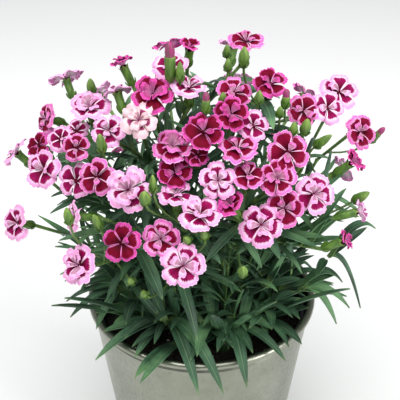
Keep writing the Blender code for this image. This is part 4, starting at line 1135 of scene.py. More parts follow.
# %% Leaf and stem finishes
def leaf_finish():
    finish = Finish("waxy_leaf", 0.5, Specular_IOR_Level=0.3)
    across = finish.node("ShaderNodeSeparateXYZ", {0: finish.place("UV")})
    patches = finish.noise(finish.place("Object"), 26.0)
    veins = finish.noise(finish.place("UV", (22, 1.2, 1)), 2.0)
    green = finish.ramp(patches, (0.32, "132B1A"), (0.50, "2C5436"), (0.68, "6C9864"))
    green = finish.mix(finish.spread(veins, 0.35, 0.75, 0.0, 0.25), green, hex_colour("8EAE96"))
    from_rib = finish.sum(finish.sum(across.outputs["X"], 0.5, "SUBTRACT"), 0.0, "ABSOLUTE")
    rib = finish.spread(from_rib, 0.01, 0.06, 0.35, 0.0)
    green = finish.mix(rib, green, hex_colour("8DB07F"))
    tip = finish.spread(across.outputs["Y"], 0.9, 1.0, 0.0, 0.3)
    green = finish.mix(tip, green, hex_colour("7E9A5C"))
    root = finish.spread(across.outputs["Y"], 0.0, 0.22, 0.6, 0.0)
    finish.colour(finish.mix(root, green, hex_colour("86A860")))
    finish.bump(veins, 0.35, 0.0005)
    return finish.material


def stem_finish():
    finish = Finish("stems_and_buds", 0.5, Specular_IOR_Level=0.4)
    kind = finish.value()
    patches = finish.noise(finish.place("Object", (1, 1, 0.25)), 560.0)
    greens = ((0.0, "213C20"), (0.4, "7FA054"), (0.6, "5A7F2C"), (0.8, "9DB85E"))
    green = finish.ramp(kind, *greens, (0.9, "7E1850"), (1.0, "A42672"))
    finish.colour(finish.mix(finish.spread(patches, 0.35, 0.65, 0.0, 0.6), green, hex_colour("35592A")))
    finish.bump(patches, 0.3, 0.0005)
    return finish.material


leaf_material = leaf_finish()
stem_material = stem_finish()
print("green finishes:", leaf_material.name, stem_material.name)

# %% [markdown]
# ## A sheet to make petals and leaves from
#
# A petal and a leaf are both a sheet with two sides. The sheet is modelled once, as a flat grid that
# Solidify gives a second side and a rim, so it is closed all round. Each petal or leaf is then a copy of
# that sheet whose points are moved to their places by a formula.

# %% The two-sided sheet
Sheet = namedtuple("Sheet", "across along side faces columns")


def two_sided_sheet(columns, rows):
    """A closed sheet: across from -1 to 1, along from 0 to 1, and which side a point is on."""
    bpy.ops.object.select_all(action="DESELECT")
    bpy.ops.mesh.primitive_grid_add(x_subdivisions=columns, y_subdivisions=rows, size=2)
    item = bpy.context.object
    second = item.modifiers.new("second side", "SOLIDIFY")
    second.thickness = 1.0
    second.offset = -1.0
    bpy.ops.object.modifier_apply(modifier=second.name)
    points = np.array([vertex.co for vertex in item.data.vertices])
    faces = [tuple(face.vertices) for face in item.data.polygons]
    bpy.data.objects.remove(item)
    return Sheet(points[:, 0], (points[:, 1] + 1) / 2, np.clip(-points[:, 2], 0, 1), faces, columns)


petal_sheet = two_sided_sheet(14, 6)
leaf_sheet = two_sided_sheet(4, 12)
small_leaf_sheet = two_sided_sheet(2, 8)
scale_sheet = two_sided_sheet(2, 4)
print("petal sheet:", len(petal_sheet.faces), "faces, leaf sheet:", len(leaf_sheet.faces), "faces")

# %% [markdown]
# ## The blooms
#
# A bloom has five broad petals that overlap like a fan and, in most, some smaller ones standing in the
# middle. Each petal is wedge-shaped and its outer edge is cut into teeth. It rises from the hub by the
# form's angle, ruffles across, and lies a little over its neighbour, so no two are alike.

# %% One petal
PETAL_THICKNESS = 0.35 * MM
PETAL_ROOT = 0.08
ROOT_SPREAD = 33
TOOTH = 0.055
TOOTH_SIZES = (0.2, 1.3)
CORNER_ROUNDING = 0.30
NOTCH = 0.05
NOTCH_WIDTH = 0.16
RUFFLES = (0.04, 0.09)
RUFFLE_WAVES = (3.5, 6.5)
ARCH = 0.14
DROOPS = (0.02, 0.16)
LAPS = (0.04, 0.09)
HOLLOW = 0.09
Petal = namedtuple("Petal", "base turn length rise spread fold")


def add_petal(sheaf, head, petal, paler, draw):
    """One petal; paler says how much of its underside's pink its upper side takes."""
    u, v, side = petal_sheet.across, petal_sheet.along, petal_sheet.side
    column = np.rint((u + 1) / 2 * petal_sheet.columns).astype(int)
    teeth = np.array([(k % 2) * draw.uniform(*TOOTH_SIZES) for k in range(petal_sheet.columns + 1)])
    rim = v > 0.99
    lobe = 1 - CORNER_ROUNDING * np.abs(u) ** 3.0 * v - NOTCH * np.exp(-(u / NOTCH_WIDTH) ** 2) * v ** 3
    reach = petal.length * (PETAL_ROOT + (1 - PETAL_ROOT) * v * lobe - rim * TOOTH * teeth[column])
    angle = math.radians(petal.turn) - np.radians(ROOT_SPREAD + (petal.spread - ROOT_SPREAD) * v) * u
    ruffle = draw.uniform(*RUFFLES) * np.sin(u * draw.uniform(*RUFFLE_WAVES) + draw.uniform(0, 6)) * v ** 2
    arch = ARCH * np.sin(v * math.pi * 0.8) - draw.uniform(*DROOPS) * v ** 3
    lap = draw.uniform(*LAPS) * u * v - HOLLOW * u * u * v
    lift = petal.length * (ruffle + arch + lap + petal.fold * np.abs(u) * v) - side * PETAL_THICKNESS
    tilt = math.radians(petal.rise)
    out = reach * math.cos(tilt) - lift * math.sin(tilt)
    up = reach * math.sin(tilt) + lift * math.cos(tilt) + petal.base
    ways = np.outer(np.cos(angle), head.x) + np.outer(np.sin(angle), head.y)
    points = head.centre + ways * out[:, None] + np.outer(up, head.axis)
    sheaf.add(points, petal_sheet.faces, zip((u + 1) / 2, v), paler + (1 - paler) * side)


# %% The whorls of each bloom
INNER_PETALS = {
    "open": (2, 3),
    "flat": (1, 2),
    "full": (4, 6),
    "plain": (1, 1),
    "cup": (5, 6),
    "tulip": (4, 5),
}
INNER_BASE = 0.9 * MM
INNER_PALER = 0.40
LONE_SHARE = 0.36
LONE_RISE = 38
OPENING = 0.72
INNER_OPENING = 0.70
PETAL_LENGTHS = (0.97, 1.07)
PETAL_SPREADS = (35, 41)
INNER_LENGTHS = (0.85, 1.20)
INNER_SPREADS = (26, 40)
INNER_FOLDS = (-0.25, 0.35)
CLAW_RINGS = ((-1.0, 1.7), (0.3, 1.6), (1.0, 0.9))
CLAW_SIDES = 10
CLAW_CAP = 1.3 * MM
CLAW_PLACE = (0.5, 0.12)
PETAL_ANGLE = 40


def add_claw(sheaf, head):
    """The bundled feet of the petals, which go down into the calyx."""
    rings = [[head.centre - head.axis * CLAW_TIP]]
    for height, radius in CLAW_RINGS:
        rings.append(ring(head.centre + head.axis * height * MM, head.x, head.y, radius * MM, CLAW_SIDES))
    rings.append([head.centre + head.axis * CLAW_CAP])
    points, faces = loft(rings)
    sheaf.add(points, faces, [CLAW_PLACE] * len(points), [0.0] * len(points))


def add_bloom(sheaf, head, form_name, draw):
    form = head.form
    for k in range(PETALS):
        turn = 360.0 * (k + 0.5) / PETALS + draw.uniform(-4, 4)
        rise = form.rise * OPENING + draw.uniform(-8, 8)
        length = head.radius * draw.uniform(*PETAL_LENGTHS)
        petal = Petal(0.0, turn, length, rise, draw.uniform(*PETAL_SPREADS), 0.0)
        add_petal(sheaf, head, petal, 0.0, draw)
    share = form.inner_share or LONE_SHARE
    rise = form.inner_rise or LONE_RISE
    start = draw.uniform(0, 360)
    count = draw.randint(*INNER_PETALS[form_name])
    for k in range(count):
        turn = start + 360.0 * k / count + draw.uniform(-25, 25)
        length = head.radius * share * draw.uniform(*INNER_LENGTHS)
        higher = rise * INNER_OPENING + draw.uniform(-12, 12)
        base = INNER_BASE + draw.uniform(-0.4, 0.4) * MM
        fold = draw.uniform(*INNER_FOLDS)
        petal = Petal(base, turn, length, higher, draw.uniform(*INNER_SPREADS), fold)
        add_petal(sheaf, head, petal, INNER_PALER, draw)
    add_claw(sheaf, head)


form_names = {form: name for name, form in FORMS.items()}
for number, head in enumerate(plant.heads, 1):
    sheaf = Sheaf()
    add_bloom(sheaf, head, form_names[head.form], random.Random(number))
    digits = head.name[-2:]
    nodes = nodes_for("bloom", digits)
    sheaf.make("petals_" + digits, petal_finishes[head.tone], nodes, PETAL_ANGLE)
print("blooms made:", len(plant.heads), "with", len(petal_sheet.faces), "faces a petal")

# %% [markdown]
# ## Stems, calyces and buds
#
# A pink's stem is straight between swollen joints and bends at each joint. At its end the green calyx
# holds the petals' feet: a tube with five pointed teeth, and two pairs of scales at its foot. A bud is
# the same calyx, closed, with furled petals at the tip once it is ripe. Two buds that stand close in
# front of blooms are not in the CAD model and are added here.

# %% A tube with a number along it
# The numbers by which the stems' finish tells the parts apart
BARK = 0.0
STEM_TONE = 0.05
STALK_TONE = 0.2
SWELLING_TONE = 0.3
JOINT_TONE = 0.4
NECK_TONE = 0.45
CALYX_TONE = 0.6
TOOTH_TONE = 0.7
RIPE_TONE = 1.0
# Rings before and after a joint: how far from it and how much thicker, in mm, and the number
BEFORE_JOINT = ((4.0, 0.0, STEM_TONE), (1.1, 0.15, SWELLING_TONE))
AFTER_JOINT = ((1.1, 0.1, SWELLING_TONE), (4.0, 0.0, STEM_TONE))
NO_PLACE = (0.5, 0.5)


def add_tube(sheaf, points, radii, values, x, y, sides, last=None):
    """A tube through points, closed by a last point where one is given."""
    rings = rings_along(points, radii, x, y, sides)
    values = [value for value, one in zip(values, rings) for _ in one]
    if last is not None:
        rings.append(last)
        values += [values[-1]] * len(last)
    shape, faces = loft(rings)
    sheaf.add(shape, faces, [NO_PLACE] * len(shape), values)


def jointed(line, radius, joint):
    """A stem's line with a swollen joint at each inner point: points, radii and finish numbers."""
    points, radii, values = [line[0]], [radius], [STEM_TONE]
    for before, corner, after in zip(line, line[1:], line[2:]):
        back = unit(before - corner)
        ahead = unit(after - corner)
        for away, swell, value in BEFORE_JOINT:
            points.append(corner + back * away * MM)
            radii.append(radius + swell * MM)
            values.append(value)
        points.append(corner)
        radii.append(radius + joint)
        values.append(JOINT_TONE)
        for away, swell, value in AFTER_JOINT:
            points.append(corner + ahead * away * MM)
            radii.append(radius + swell * MM)
            values.append(value)
    return points, radii, values


# %% Stems with their calyces
CALYX = ((14.0, 1.2), (12.6, 1.75), (10.5, 2.25), (7.5, 2.5), (4.0, 2.5), (1.5, 2.6))
CALYX_TEETH = ((-2.0, 2.75), (0.6, 3.5))
CALYX_FOOT = 13.6 * MM
STEM_SIDES = 8
JOINT = 0.5 * MM
SCALE_WIDTH = 2.6 * MM
SCALE_THICKNESS = 0.3


def add_scales(sheaf, foot, axis, x, y, radius, length):
    """Four small scales that hug the foot of a calyx."""
    for k in range(4):
        turn = math.radians(45 + 90 * k)
        out = x * math.cos(turn) + y * math.sin(turn)
        low = foot + out * radius * 0.75
        high = foot + axis * length * (1.0 if k % 2 else 0.8) + out * (radius + 1.5 * MM)
        middle = (low + high) / 2 + out * 0.9 * MM
        path = (low, middle, high)
        side = np.cross(axis, out)
        add_blade(sheaf, scale_sheet, path, side, SCALE_WIDTH, CALYX_TONE, SCALE_THICKNESS)


def add_blade(sheaf, sheet, path, side, width, value, thickness):
    """A pointed blade on a curve, hollowed a little across, from one of the sheets."""
    u, v, under = sheet.across, sheet.along, sheet.side
    base, middle, tip = path
    centre = np.outer((1 - v) ** 2, base) + np.outer(2 * v * (1 - v), middle) + np.outer(v ** 2, tip)
    ahead = np.outer(1 - v, middle - base) + np.outer(v, tip - middle)
    ahead /= np.linalg.norm(ahead, axis=1)[:, None]
    across = side - ahead * (ahead @ side)[:, None]
    across /= np.linalg.norm(across, axis=1)[:, None]
    up = np.cross(across, ahead)
    half = width / 2 * (0.45 + 0.55 * np.sin(np.clip(v / 0.40, 0, 1) * math.pi / 2))
    half = half * np.maximum(1 - v ** 5.0, 0.02)
    fold = 0.30 * half * (np.abs(u) - 1) - under * (thickness + 0.5 * (1 - np.abs(u)) * thickness) * MM
    points = centre + across * (half * u)[:, None] + up * fold[:, None]
    sheaf.add(points, sheet.faces, zip((u + 1) / 2, v), [value] * len(u))


def add_calyx(sheaf, head, points, radii, values):
    points = points + [head.centre - head.axis * height * MM for height, _ in CALYX]
    radii = radii + [radius * MM for _, radius in CALYX]
    values = values + [NECK_TONE] + [CALYX_TONE] * (len(CALYX) - 1)
    mouth = []
    for k in range(2 * PETALS):
        turn = math.pi * (k + 0.5) / PETALS
        height, radius = CALYX_TEETH[k % 2]
        side = head.x * math.cos(turn) + head.y * math.sin(turn)
        mouth.append(head.centre + head.axis * (height * MM) + side * (radius * MM))
    inside = ring(head.centre - head.axis * 3.0 * MM, head.x, head.y, 1.9 * MM, 2 * PETALS, 18.0)
    rings = rings_along(points, radii, head.x, head.y, 2 * PETALS)
    numbers = [value for value, one in zip(values, rings) for _ in one]
    numbers += [TOOTH_TONE] * (4 * PETALS) + [CALYX_TONE]
    shape, faces = loft(rings + [mouth, inside, [head.centre - head.axis * CALYX_FLOOR]])
    sheaf.add(shape, faces, [NO_PLACE] * len(shape), numbers)


def add_stem(stems, head, path, from_stem):
    line = stem_line(path, from_stem)
    radius = SIDE_STEM_RADIUS + 0.1 * MM if from_stem else STEM_RADIUS
    points, radii, values = jointed(line, radius, JOINT)
    add_calyx(stems, head, points, radii, values)
    foot = head.centre - head.axis * CALYX_FOOT
    add_scales(stems, foot, head.axis, head.x, head.y, 2.0 * MM, 6.0 * MM)


# %% Buds and young shoots
# A bud's outline from its foot to near its tip: share of its length, and share of its width
BUD_PROFILE = ((0.0, 0.22), (0.08, 0.62), (0.25, 0.92), (0.45, 1.0), (0.65, 0.86), (0.80, 0.62), (0.92, 0.34))
RIPE_PROFILE = ((0.0, 0.22), (0.08, 0.68), (0.25, 0.95), (0.5, 1.0), (0.62, 0.96), (0.66, 0.82), (0.72, 0.90),
                (0.86, 0.80), (0.95, 0.48))
RIPE_TIP = 0.64
FINE_BUD_SIDES = 10
BUD_FOOT_TONE = 0.52
BUD_PALING = 0.2
CROWN_PROFILE = ((-CROWN_DEPTH / MM, 4.5), (-3, 6.4), (1, 7.2), (4, 6.8), (7, 5.8), (8.4, 4.2))
FINE_CROWN_SIDES = 14
KNOBS = (0.86, 1.0)


def add_bud(stems, path, axis, length, width, pink):
    end = bezier(path, 1.0)
    points = [bezier(path, t) for t in (0.0, 0.25, 0.5, 0.75)]
    radii = [SIDE_STEM_RADIUS] * 3 + [0.8 * MM]
    values = [STALK_TONE] * 4
    for share, wide in RIPE_PROFILE if pink else BUD_PROFILE:
        points.append(end + axis * length * share)
        radii.append(width / 2 * wide)
        furled = pink and share > RIPE_TIP
        values.append(RIPE_TONE if furled else BUD_FOOT_TONE + BUD_PALING * share)
    x, y = square_to(axis)
    add_tube(stems, points, radii, values, x, y, FINE_BUD_SIDES, [end + axis * length])
    add_scales(stems, end, axis, x, y, width * 0.34, length * 0.42)


def add_shoot(stems, line):
    points, radii, values = jointed(line, STEM_RADIUS, JOINT)
    x, y = square_to(unit(points[-1] - points[-2]))
    add_tube(stems, points, radii, values, x, y, STEM_SIDES)


def add_crown(stems, place, draw):
    """The woody foot of a bunch, knobbly where old stems broke off."""
    rings = []
    up = np.array([0.0, 0.0, 1.0])
    x, y = np.array([1.0, 0.0, 0.0]), np.array([0.0, 1.0, 0.0])
    for height, radius in CROWN_PROFILE:
        one = ring(place + up * height * MM, x, y, radius * MM, FINE_CROWN_SIDES)
        knobs = [draw.uniform(*KNOBS) for _ in one]
        rings.append([place + (p - place) * np.array([k, k, 1]) for p, k in zip(one, knobs)])
    points, faces = loft(rings)
    stems.add(points, faces, [NO_PLACE] * len(points), [BARK] * len(points))


# %% Two buds close in front of blooms
CLOSE_BUDS = ((Bud(170, 62, 25, 6.4, 0, 6, -9), True), (Bud(180, 72, 13, 4.8, 0, 4, -8), False))


def crossings(path, axis, length, width):
    """How many blooms a bud on its stalk pierces."""
    solid = solid_of(bud_shape(path, axis, length, width), 0)
    return sum(crosses(solid, bloom) for bloom in plant.blooms)


def add_close_bud(row, pink):
    """A bud on the near stem whose way to it pierces the fewest blooms, its body clear of them all."""
    axis = facing(row.bearing, row.lean)
    length, width = row.length * MM, row.width * MM
    end = on_dome(row.px, row.py, row.behind) - axis * length * 0.5
    while crossings((end - axis * 2 * MM, end - axis * MM, end), axis, length, width):
        end = end + unit(EYE - end) * MM
    ways = []
    for stem, share in plant.nearest_stems(end - np.array([0.0, 0.0, 20 * MM]))[:40]:
        root = along_line(stem.line, share)[0]
        path = (root, end - axis * 0.45 * np.linalg.norm(end - root), end)
        ways.append((crossings(path, axis, length, width), len(ways), stem.bunch, path))
    _, _, bunch, path = min(ways, key=lambda way: way[:2])
    plant.items.append(Item("bud", bunch, path, (axis, length, width, pink)))


for row, pink in CLOSE_BUDS:
    add_close_bud(row, pink)
print("buds:", sum(item.kind == "bud" for item in plant.items))

# %% [markdown]
# ## Leaves
#
# A pink's leaf is long and narrow, widest a third of the way up, folded a little along its midrib, and it
# ends in a point. Each is a copy of the leaf sheet on the curve that its CAD blade follows, and it sits
# between the blade's flat top and its keel.

# %% One leaf
LEAF_SWAY = 1.2 * MM
LEAF_TWIST = 0.15
FINE_LEAF_THICKNESS = 0.55
SMALL_LEAF_THICKNESS = 0.4
LEAF_TONE = 0.0


def blade_side(path):
    """The direction across a blade: level, as the CAD model sets it."""
    base, _, tip = path
    along = tip - base
    level = np.array([along[0], along[1], 0.0])
    if np.linalg.norm(level) < STEEP * np.linalg.norm(along):
        level = np.array([base[0], base[1], 0.0]) + np.array([0.0, -0.001, 0.0])
    return unit(np.cross(level, np.array([0.0, 0.0, 1.0])))


def add_leaf(leaves, path, width, draw):
    base, middle, tip = path
    side = blade_side(path)
    sway = side * draw.uniform(-1, 1) * LEAF_SWAY
    turn = draw.uniform(-LEAF_TWIST, LEAF_TWIST)
    side = unit(side + turn * np.array([0.0, 0.0, 1.0]))
    add_blade(leaves, leaf_sheet, (base, middle + sway, tip), side, width, LEAF_TONE, FINE_LEAF_THICKNESS)


# %% [markdown]
# ## The leaves between the leaves
#
# The CAD model has the leaves that are seen one by one. A real pink has many more, thin and dark, in a
# pair at each joint of its stems and on short shoots round its foot. They hide the soil and the light
# behind the plant. A drawn leaf is kept where it pierces no bloom, hides none that is seen from the
# front, and clears the pot.

# %% Small leaves at the joints and on short shoots
PAIR_PLACES = (0.14, 0.26, 0.38, 0.48, 0.58, 0.70)
FOOT_SHOOTS = 3
FOOT_PAIRS = 3
INNER_SHARE = 0.88
INNER_REACH = 95 * MM
# A small leaf's bend and tip: how far along its stem and how far out, as shares of its length
BEND_ALONG = 0.55
BEND_OUT = 0.28
TIP_ALONG = 0.62
TIP_OUT = 0.75
TIP_SAG = 0.12
JOINT_LEAF_LENGTHS = (26, 46)
JOINT_LEAF_WIDTHS = (3.2, 5.2)
FOOT_LEAF_LENGTHS = (34, 56)
FOOT_LEAF_WIDTHS = (6.0, 8.5)
SHOOT_FAN = 75
SHOOT_HEIGHTS = (22, 62)
SHOOT_LEANS = (10, 38)
SHOOT_BOW = 3 * MM


def add_free_leaf(leaves, root, out, along, length, width):
    """A small leaf, if there is room: it leaves its stem upwards and leans out."""
    sag = np.array([0.0, 0.0, TIP_SAG * length])
    tip = root + (along * TIP_ALONG + out * TIP_OUT) * length - sag
    path = (root, root + (along * BEND_ALONG + out * BEND_OUT) * length, tip)
    if np.linalg.norm((tip - DOME_CENTRE) / DOME_RADII) > INNER_SHARE:
        return
    if math.hypot(tip[0], tip[1]) > INNER_REACH:
        return
    if not clears_pot(along_leaf(path)):
        return
    solid = solid_of(leaf_shape(path, width, LEAF_STATIONS), 0)
    if any(crosses(solid, bloom) for bloom in plant.blooms) or plant.hides_bloom(path):
        return
    add_blade(leaves, small_leaf_sheet, path, blade_side(path), width, LEAF_TONE, SMALL_LEAF_THICKNESS)


def add_pairs(leaves, line, places, lengths, widths, draw):
    """Two small leaves, one on each side, at each of some places along a stem."""
    for share in places:
        root, along = along_line(line, share)
        x, _ = square_to(along, draw.uniform(0, 360))
        for out in (x, -x):
            length = draw.uniform(*lengths) * MM
            width = draw.uniform(*widths) * MM
            add_free_leaf(leaves, root, out, along, length, width)


def add_foot_shoots(stems, leaves, index, draw):
    """Short leafy shoots that lean out from a crown."""
    for k in range(FOOT_SHOOTS):
        start = crown_spot(index, k)
        direction = BUNCHES[index].direction + draw.uniform(-SHOOT_FAN, SHOOT_FAN)
        height = draw.uniform(*SHOOT_HEIGHTS) * MM
        top = start + facing(direction + 90, draw.uniform(*SHOOT_LEANS)) * height
        line = [start, (start + top) / 2 + np.array([0.0, 0.0, SHOOT_BOW]), top]
        add_shoot(stems, line)
        places = [0.45 + 0.54 * pair / (FOOT_PAIRS - 1) for pair in range(FOOT_PAIRS)]
        add_pairs(leaves, line, places, FOOT_LEAF_LENGTHS, FOOT_LEAF_WIDTHS, draw)


# %% Every bunch of stems and leaves
STEM_ANGLE = 60
LEAF_ANGLE = 50
BUNCH_SEED = 100
for index, bunch in enumerate(BUNCHES):
    draw = random.Random(BUNCH_SEED + index)
    stems = Sheaf()
    leaves = Sheaf()
    add_crown(stems, crown_place(index), draw)
    add_foot_shoots(stems, leaves, index, draw)
    for item in plant.items:
        if item.bunch != index:
            continue
        if item.kind == "stem":
            head, from_stem = item.detail
            add_stem(stems, head, item.path, from_stem)
            line = stem_line(item.path, from_stem)
            add_pairs(leaves, line, PAIR_PLACES, JOINT_LEAF_LENGTHS, JOINT_LEAF_WIDTHS, draw)
        elif item.kind == "bud":
            add_bud(stems, item.path, *item.detail)
        elif item.kind == "shoot":
            add_shoot(stems, [bezier(item.path, t) for t in (0.0, 0.5, 1.0)])
        else:
            add_leaf(leaves, item.path, item.detail, draw)
    node = "leafy_stems_" + bunch.name
    stems.make("stems_" + bunch.name, stem_material, [node], STEM_ANGLE)
    leaves.make("leaves_" + bunch.name, leaf_material, [node], LEAF_ANGLE)
    print(bunch.name, len(stems.faces), "stem faces,", len(leaves.faces), "leaf faces")

# %% [markdown]
# ## The zinc pot
#
# The pot is one sheet of zinc, turned to a cone, with its rim rolled to a bead. A turned shape is spun
# from half its outline. The nursery pot inside is made the same way.

# %% Spin an outline
def spun(name, outline, material, smooth=30):
    """A piece turned from half its outline, which takes the place of the CAD node of its name."""
    mesh = bpy.data.meshes.new(name)
    mesh.from_pydata([(radius, 0.0, height) for radius, height in outline],
                     [(k, k + 1) for k in range(len(outline) - 1)], [])
    item = bpy.data.objects.new(name, mesh)
    bpy.context.scene.collection.objects.link(item)
    select_only(item)
    bpy.ops.object.mode_set(mode="EDIT")
    bpy.ops.mesh.select_all(action="SELECT")
    bpy.ops.mesh.spin(steps=POT_STEPS, angle=2 * math.pi, center=(0, 0, 0), axis=(0, 0, 1))
    bpy.ops.mesh.select_all(action="SELECT")
    bpy.ops.mesh.remove_doubles(threshold=0.00002)
    bpy.ops.mesh.normals_make_consistent(inside=False)
    bpy.ops.object.mode_set(mode="OBJECT")
    print(name, len(item.data.polygons), "faces")
    finish_piece(item, material, [name.replace("fine_", "")], smooth)


def pot_radius(height):
    return BASE_RADIUS + (RIM_RADIUS - BEAD - BASE_RADIUS) * height / POT_HEIGHT


def pot_outline():
    """From the middle of the floor, up the inside, round the bead, and down the outside."""
    lip = RIM_RADIUS - BEAD
    inner_top = POT_HEIGHT - 2.2 * BEAD
    outline = [(0.0, SHEET), (pot_radius(SHEET) - SHEET, SHEET), (pot_radius(inner_top) - SHEET, inner_top)]
    for angle in range(-60, 241, 15):
        turn = math.radians(90 - angle)
        outline.append((lip + BEAD * math.cos(turn), POT_HEIGHT - BEAD + BEAD * math.sin(turn)))
    groove = POT_HEIGHT - 2.6 * BEAD
    outline += [(pot_radius(groove) + 0.2 * MM, groove), (pot_radius(groove) + 0.9 * MM, groove - 1.5 * MM)]
    outline += [(pot_radius(groove - 4 * MM) + 0.2 * MM, groove - 4 * MM), (pot_radius(2 * MM), 2 * MM)]
    return outline + [(BASE_RADIUS - 0.4 * MM, 0.5 * MM), (BASE_RADIUS - 1.5 * MM, 0.0), (0.0, 0.0)]


def zinc_finish():
    finish = Finish("zinc", 0.36, Metallic=1.0)
    cloud = finish.noise(finish.place("Object"), 22.0, 4.0, 0.6)
    grain = finish.noise(finish.place("Object", (1, 1, 0.7)), 420.0, 3.0, 0.6)
    metal = finish.ramp(cloud, (0.30, "828677"), (0.55, "95988A"), (0.75, "A6A99C"))
    specks = finish.spread(grain, 0.64, 0.72, 0.0, 0.45)
    finish.colour(finish.mix(specks, metal, hex_colour("5E5F58")))
    rough = finish.spread(grain, 0.3, 0.7, 0.28, 0.42)
    finish.tree.links.new(rough, finish.shader.inputs["Roughness"])
    finish.bump(grain, 0.12, 0.0004)
    return finish.material


spun("fine_pot", pot_outline(), zinc_finish())

# %% The nursery pot inside
def liner_radius(height):
    return LINER_BASE_RADIUS + (LINER_TOP_RADIUS - LINER_BASE_RADIUS) * height / LINER_TOP


def liner_outline():
    floor = SHEET + FIT
    lip = LINER_TOP_RADIUS + 1.6 * MM
    outline = [(0.0, floor + LINER_WALL), (liner_radius(floor) - LINER_WALL, floor + LINER_WALL)]
    outline.append((LINER_TOP_RADIUS - LINER_WALL, LINER_TOP - 0.4 * MM))
    outline.append((LINER_TOP_RADIUS - 0.8 * MM, LINER_TOP))
    outline += [(lip - 0.4 * MM, LINER_TOP), (lip, LINER_TOP - 0.4 * MM), (lip, LINER_TOP - 5 * MM)]
    outline.append((liner_radius(LINER_TOP - 6 * MM), LINER_TOP - 6 * MM))
    return outline + [(liner_radius(floor), floor), (0.0, floor)]


def plastic_finish():
    finish = Finish("black_plastic", 0.5)
    grain = finish.noise(finish.place("Object"), 900.0)
    finish.colour(finish.ramp(grain, (0.3, "17151C"), (0.7, "26242C")))
    finish.bump(grain, 0.2, 0.0003)
    return finish.material


spun("fine_nursery_pot", liner_outline(), plastic_finish())

# %% [markdown]
# ## The potting soil
#
# Potting soil is dark crumbs of peat with white grains of perlite. The bed is a turned disc with a
# rough finish, and crumbs and grains, each a small dented ball, lie half sunk in it.

# %% Soil with crumbs and perlite
CRUMBS = 1500
GRAINS = 70
CRUMB_SIZES = (0.6, 2.0)
GRAIN_SIZES = (0.6, 1.5)
DENTS = (0.7, 1.2)
SOIL_ANGLE = 60
CRUMB_ANGLE = 10


def soil_finish(name, low, high):
    finish = Finish(name, 0.95)
    crumb = finish.noise(finish.place("Object"), 380.0, 5.0, 0.7)
    finish.colour(finish.ramp(crumb, (0.35, low), (0.7, high)))
    finish.bump(crumb, 0.9, 0.001)
    return finish.material


def ball_shape():
    """A small faceted ball, modelled once."""
    bpy.ops.object.select_all(action="DESELECT")
    bpy.ops.mesh.primitive_ico_sphere_add(subdivisions=1, radius=1.0)
    item = bpy.context.object
    points = np.array([vertex.co for vertex in item.data.vertices])
    faces = [tuple(face.vertices) for face in item.data.polygons]
    bpy.data.objects.remove(item)
    return points, faces


def add_crumbs(sheaf, count, sizes, draw):
    points, faces = ball_shape()
    edge = liner_radius(SOIL_TOP) - LINER_WALL - 2.5 * MM
    for _ in range(count):
        out = edge * math.sqrt(draw.random())
        turn = draw.uniform(0, 2 * math.pi)
        size = draw.uniform(*sizes) * MM
        dents = np.array([draw.uniform(*DENTS) for _ in points])
        stretch = np.array([draw.uniform(*DENTS) for _ in range(3)])
        shape = points * dents[:, None] * stretch * size
        place = np.array([out * math.cos(turn), out * math.sin(turn), SOIL_TOP + 0.2 * MM])
        sheaf.add(shape + place, faces, [NO_PLACE] * len(shape), [0.0] * len(shape))


def soil_outline():
    floor = SHEET + FIT + LINER_WALL + FIT
    wall = LINER_WALL + 1.3 * FIT
    top = liner_radius(SOIL_TOP) - wall
    shares = (0, 0.2, 0.4, 0.6, 0.8)
    outline = [(top * share, SOIL_TOP + 0.6 * MM * math.cos(share * 2)) for share in shares]
    return outline + [(top, SOIL_TOP - 1.5 * MM), (liner_radius(floor) - wall, floor), (0.0, floor)]


peat = soil_finish("peat", "0B0907", "2A211A")
spun("fine_soil", soil_outline(), peat, SOIL_ANGLE)
crumbs = Sheaf()
add_crumbs(crumbs, CRUMBS, CRUMB_SIZES, random.Random(5))
crumbs.make("soil_crumbs", peat, ["soil"], CRUMB_ANGLE)
perlite = Sheaf()
add_crumbs(perlite, GRAINS, GRAIN_SIZES, random.Random(6))
white = soil_finish("perlite", "A8A49A", "E4E1D8")
perlite.make("perlite_grains", white, ["soil"], CRUMB_ANGLE)
print("crumbs:", CRUMBS, "grains of perlite:", GRAINS)
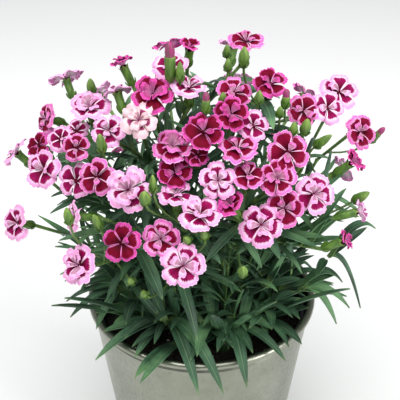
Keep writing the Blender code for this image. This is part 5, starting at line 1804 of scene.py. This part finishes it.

# %% [markdown]
# ## Studio and camera
#
# The studio is a pale table top that ends behind the pot, a wide floor just below it, and soft lights: a
# large one above and to the left, a weaker one to the right, and an even pale sky. The camera stands
# where the photographer stood and looks down on the plant.

# %% Studio
TABLE_EDGE = 0.30
FLOOR_DROP = 0.012
AIM = (0, 0, 0.2)
SKY = (0.93, 0.94, 0.96, 1)
SKY_STRENGTH = 0.32


def plain_stage(name, size, middle, turn, colour, glow):
    bpy.ops.object.select_all(action="DESELECT")
    bpy.ops.mesh.primitive_plane_add(size=1, location=middle, rotation=(0, 0, turn))
    item = bpy.context.object
    item.name = name
    item.scale = (*size, 1)
    finish = Finish(name, 0.7)
    finish.shader.inputs["Base Color"].default_value = hex_colour(colour)
    finish.shader.inputs["Emission Color"].default_value = hex_colour(colour)
    finish.shader.inputs["Emission Strength"].default_value = glow
    item.data.materials.append(finish.material)


def soft_light(name, place, aim, size, power):
    light = bpy.data.lights.new(name, "AREA")
    light.size = size
    light.energy = power
    item = bpy.data.objects.new(name, light)
    item.location = place
    item.rotation_euler = (Vector(aim) - Vector(place)).to_track_quat("-Z", "Y").to_euler()
    bpy.context.scene.collection.objects.link(item)


plain_stage("table_top", (4.0, 2.0), (0.0, TABLE_EDGE - 1.0, 0.0), math.radians(0.8), "E8E9E8", 0.05)
plain_stage("studio_floor", (60.0, 60.0), (0.0, 0.0, -FLOOR_DROP), 0.0, "F2F2F2", 0.15)
soft_light("sky_panel", (-0.25, -0.42, 1.6), AIM, 1.6, 34)
soft_light("side_panel", (1.3, -0.8, 0.9), AIM, 0.8, 17)
world = bpy.data.worlds.new("pale_room")
world.use_nodes = True
world.node_tree.nodes["Background"].inputs["Color"].default_value = SKY
world.node_tree.nodes["Background"].inputs["Strength"].default_value = SKY_STRENGTH
bpy.context.scene.world = world
bpy.context.scene.view_settings.view_transform = "Standard"

# %% Camera
SENSOR = 36.0
camera_data = bpy.data.cameras.new("camera")
camera_data.sensor_width = SENSOR
camera_data.lens = FOCAL * SENSOR / (2 * MIDDLE)
camera_item = bpy.data.objects.new("camera", camera_data)
camera_item.location = EYE
camera_item.rotation_euler = (math.pi / 2 - LOOK_DOWN, 0, 0)
bpy.context.scene.collection.objects.link(camera_item)
bpy.context.scene.camera = camera_item
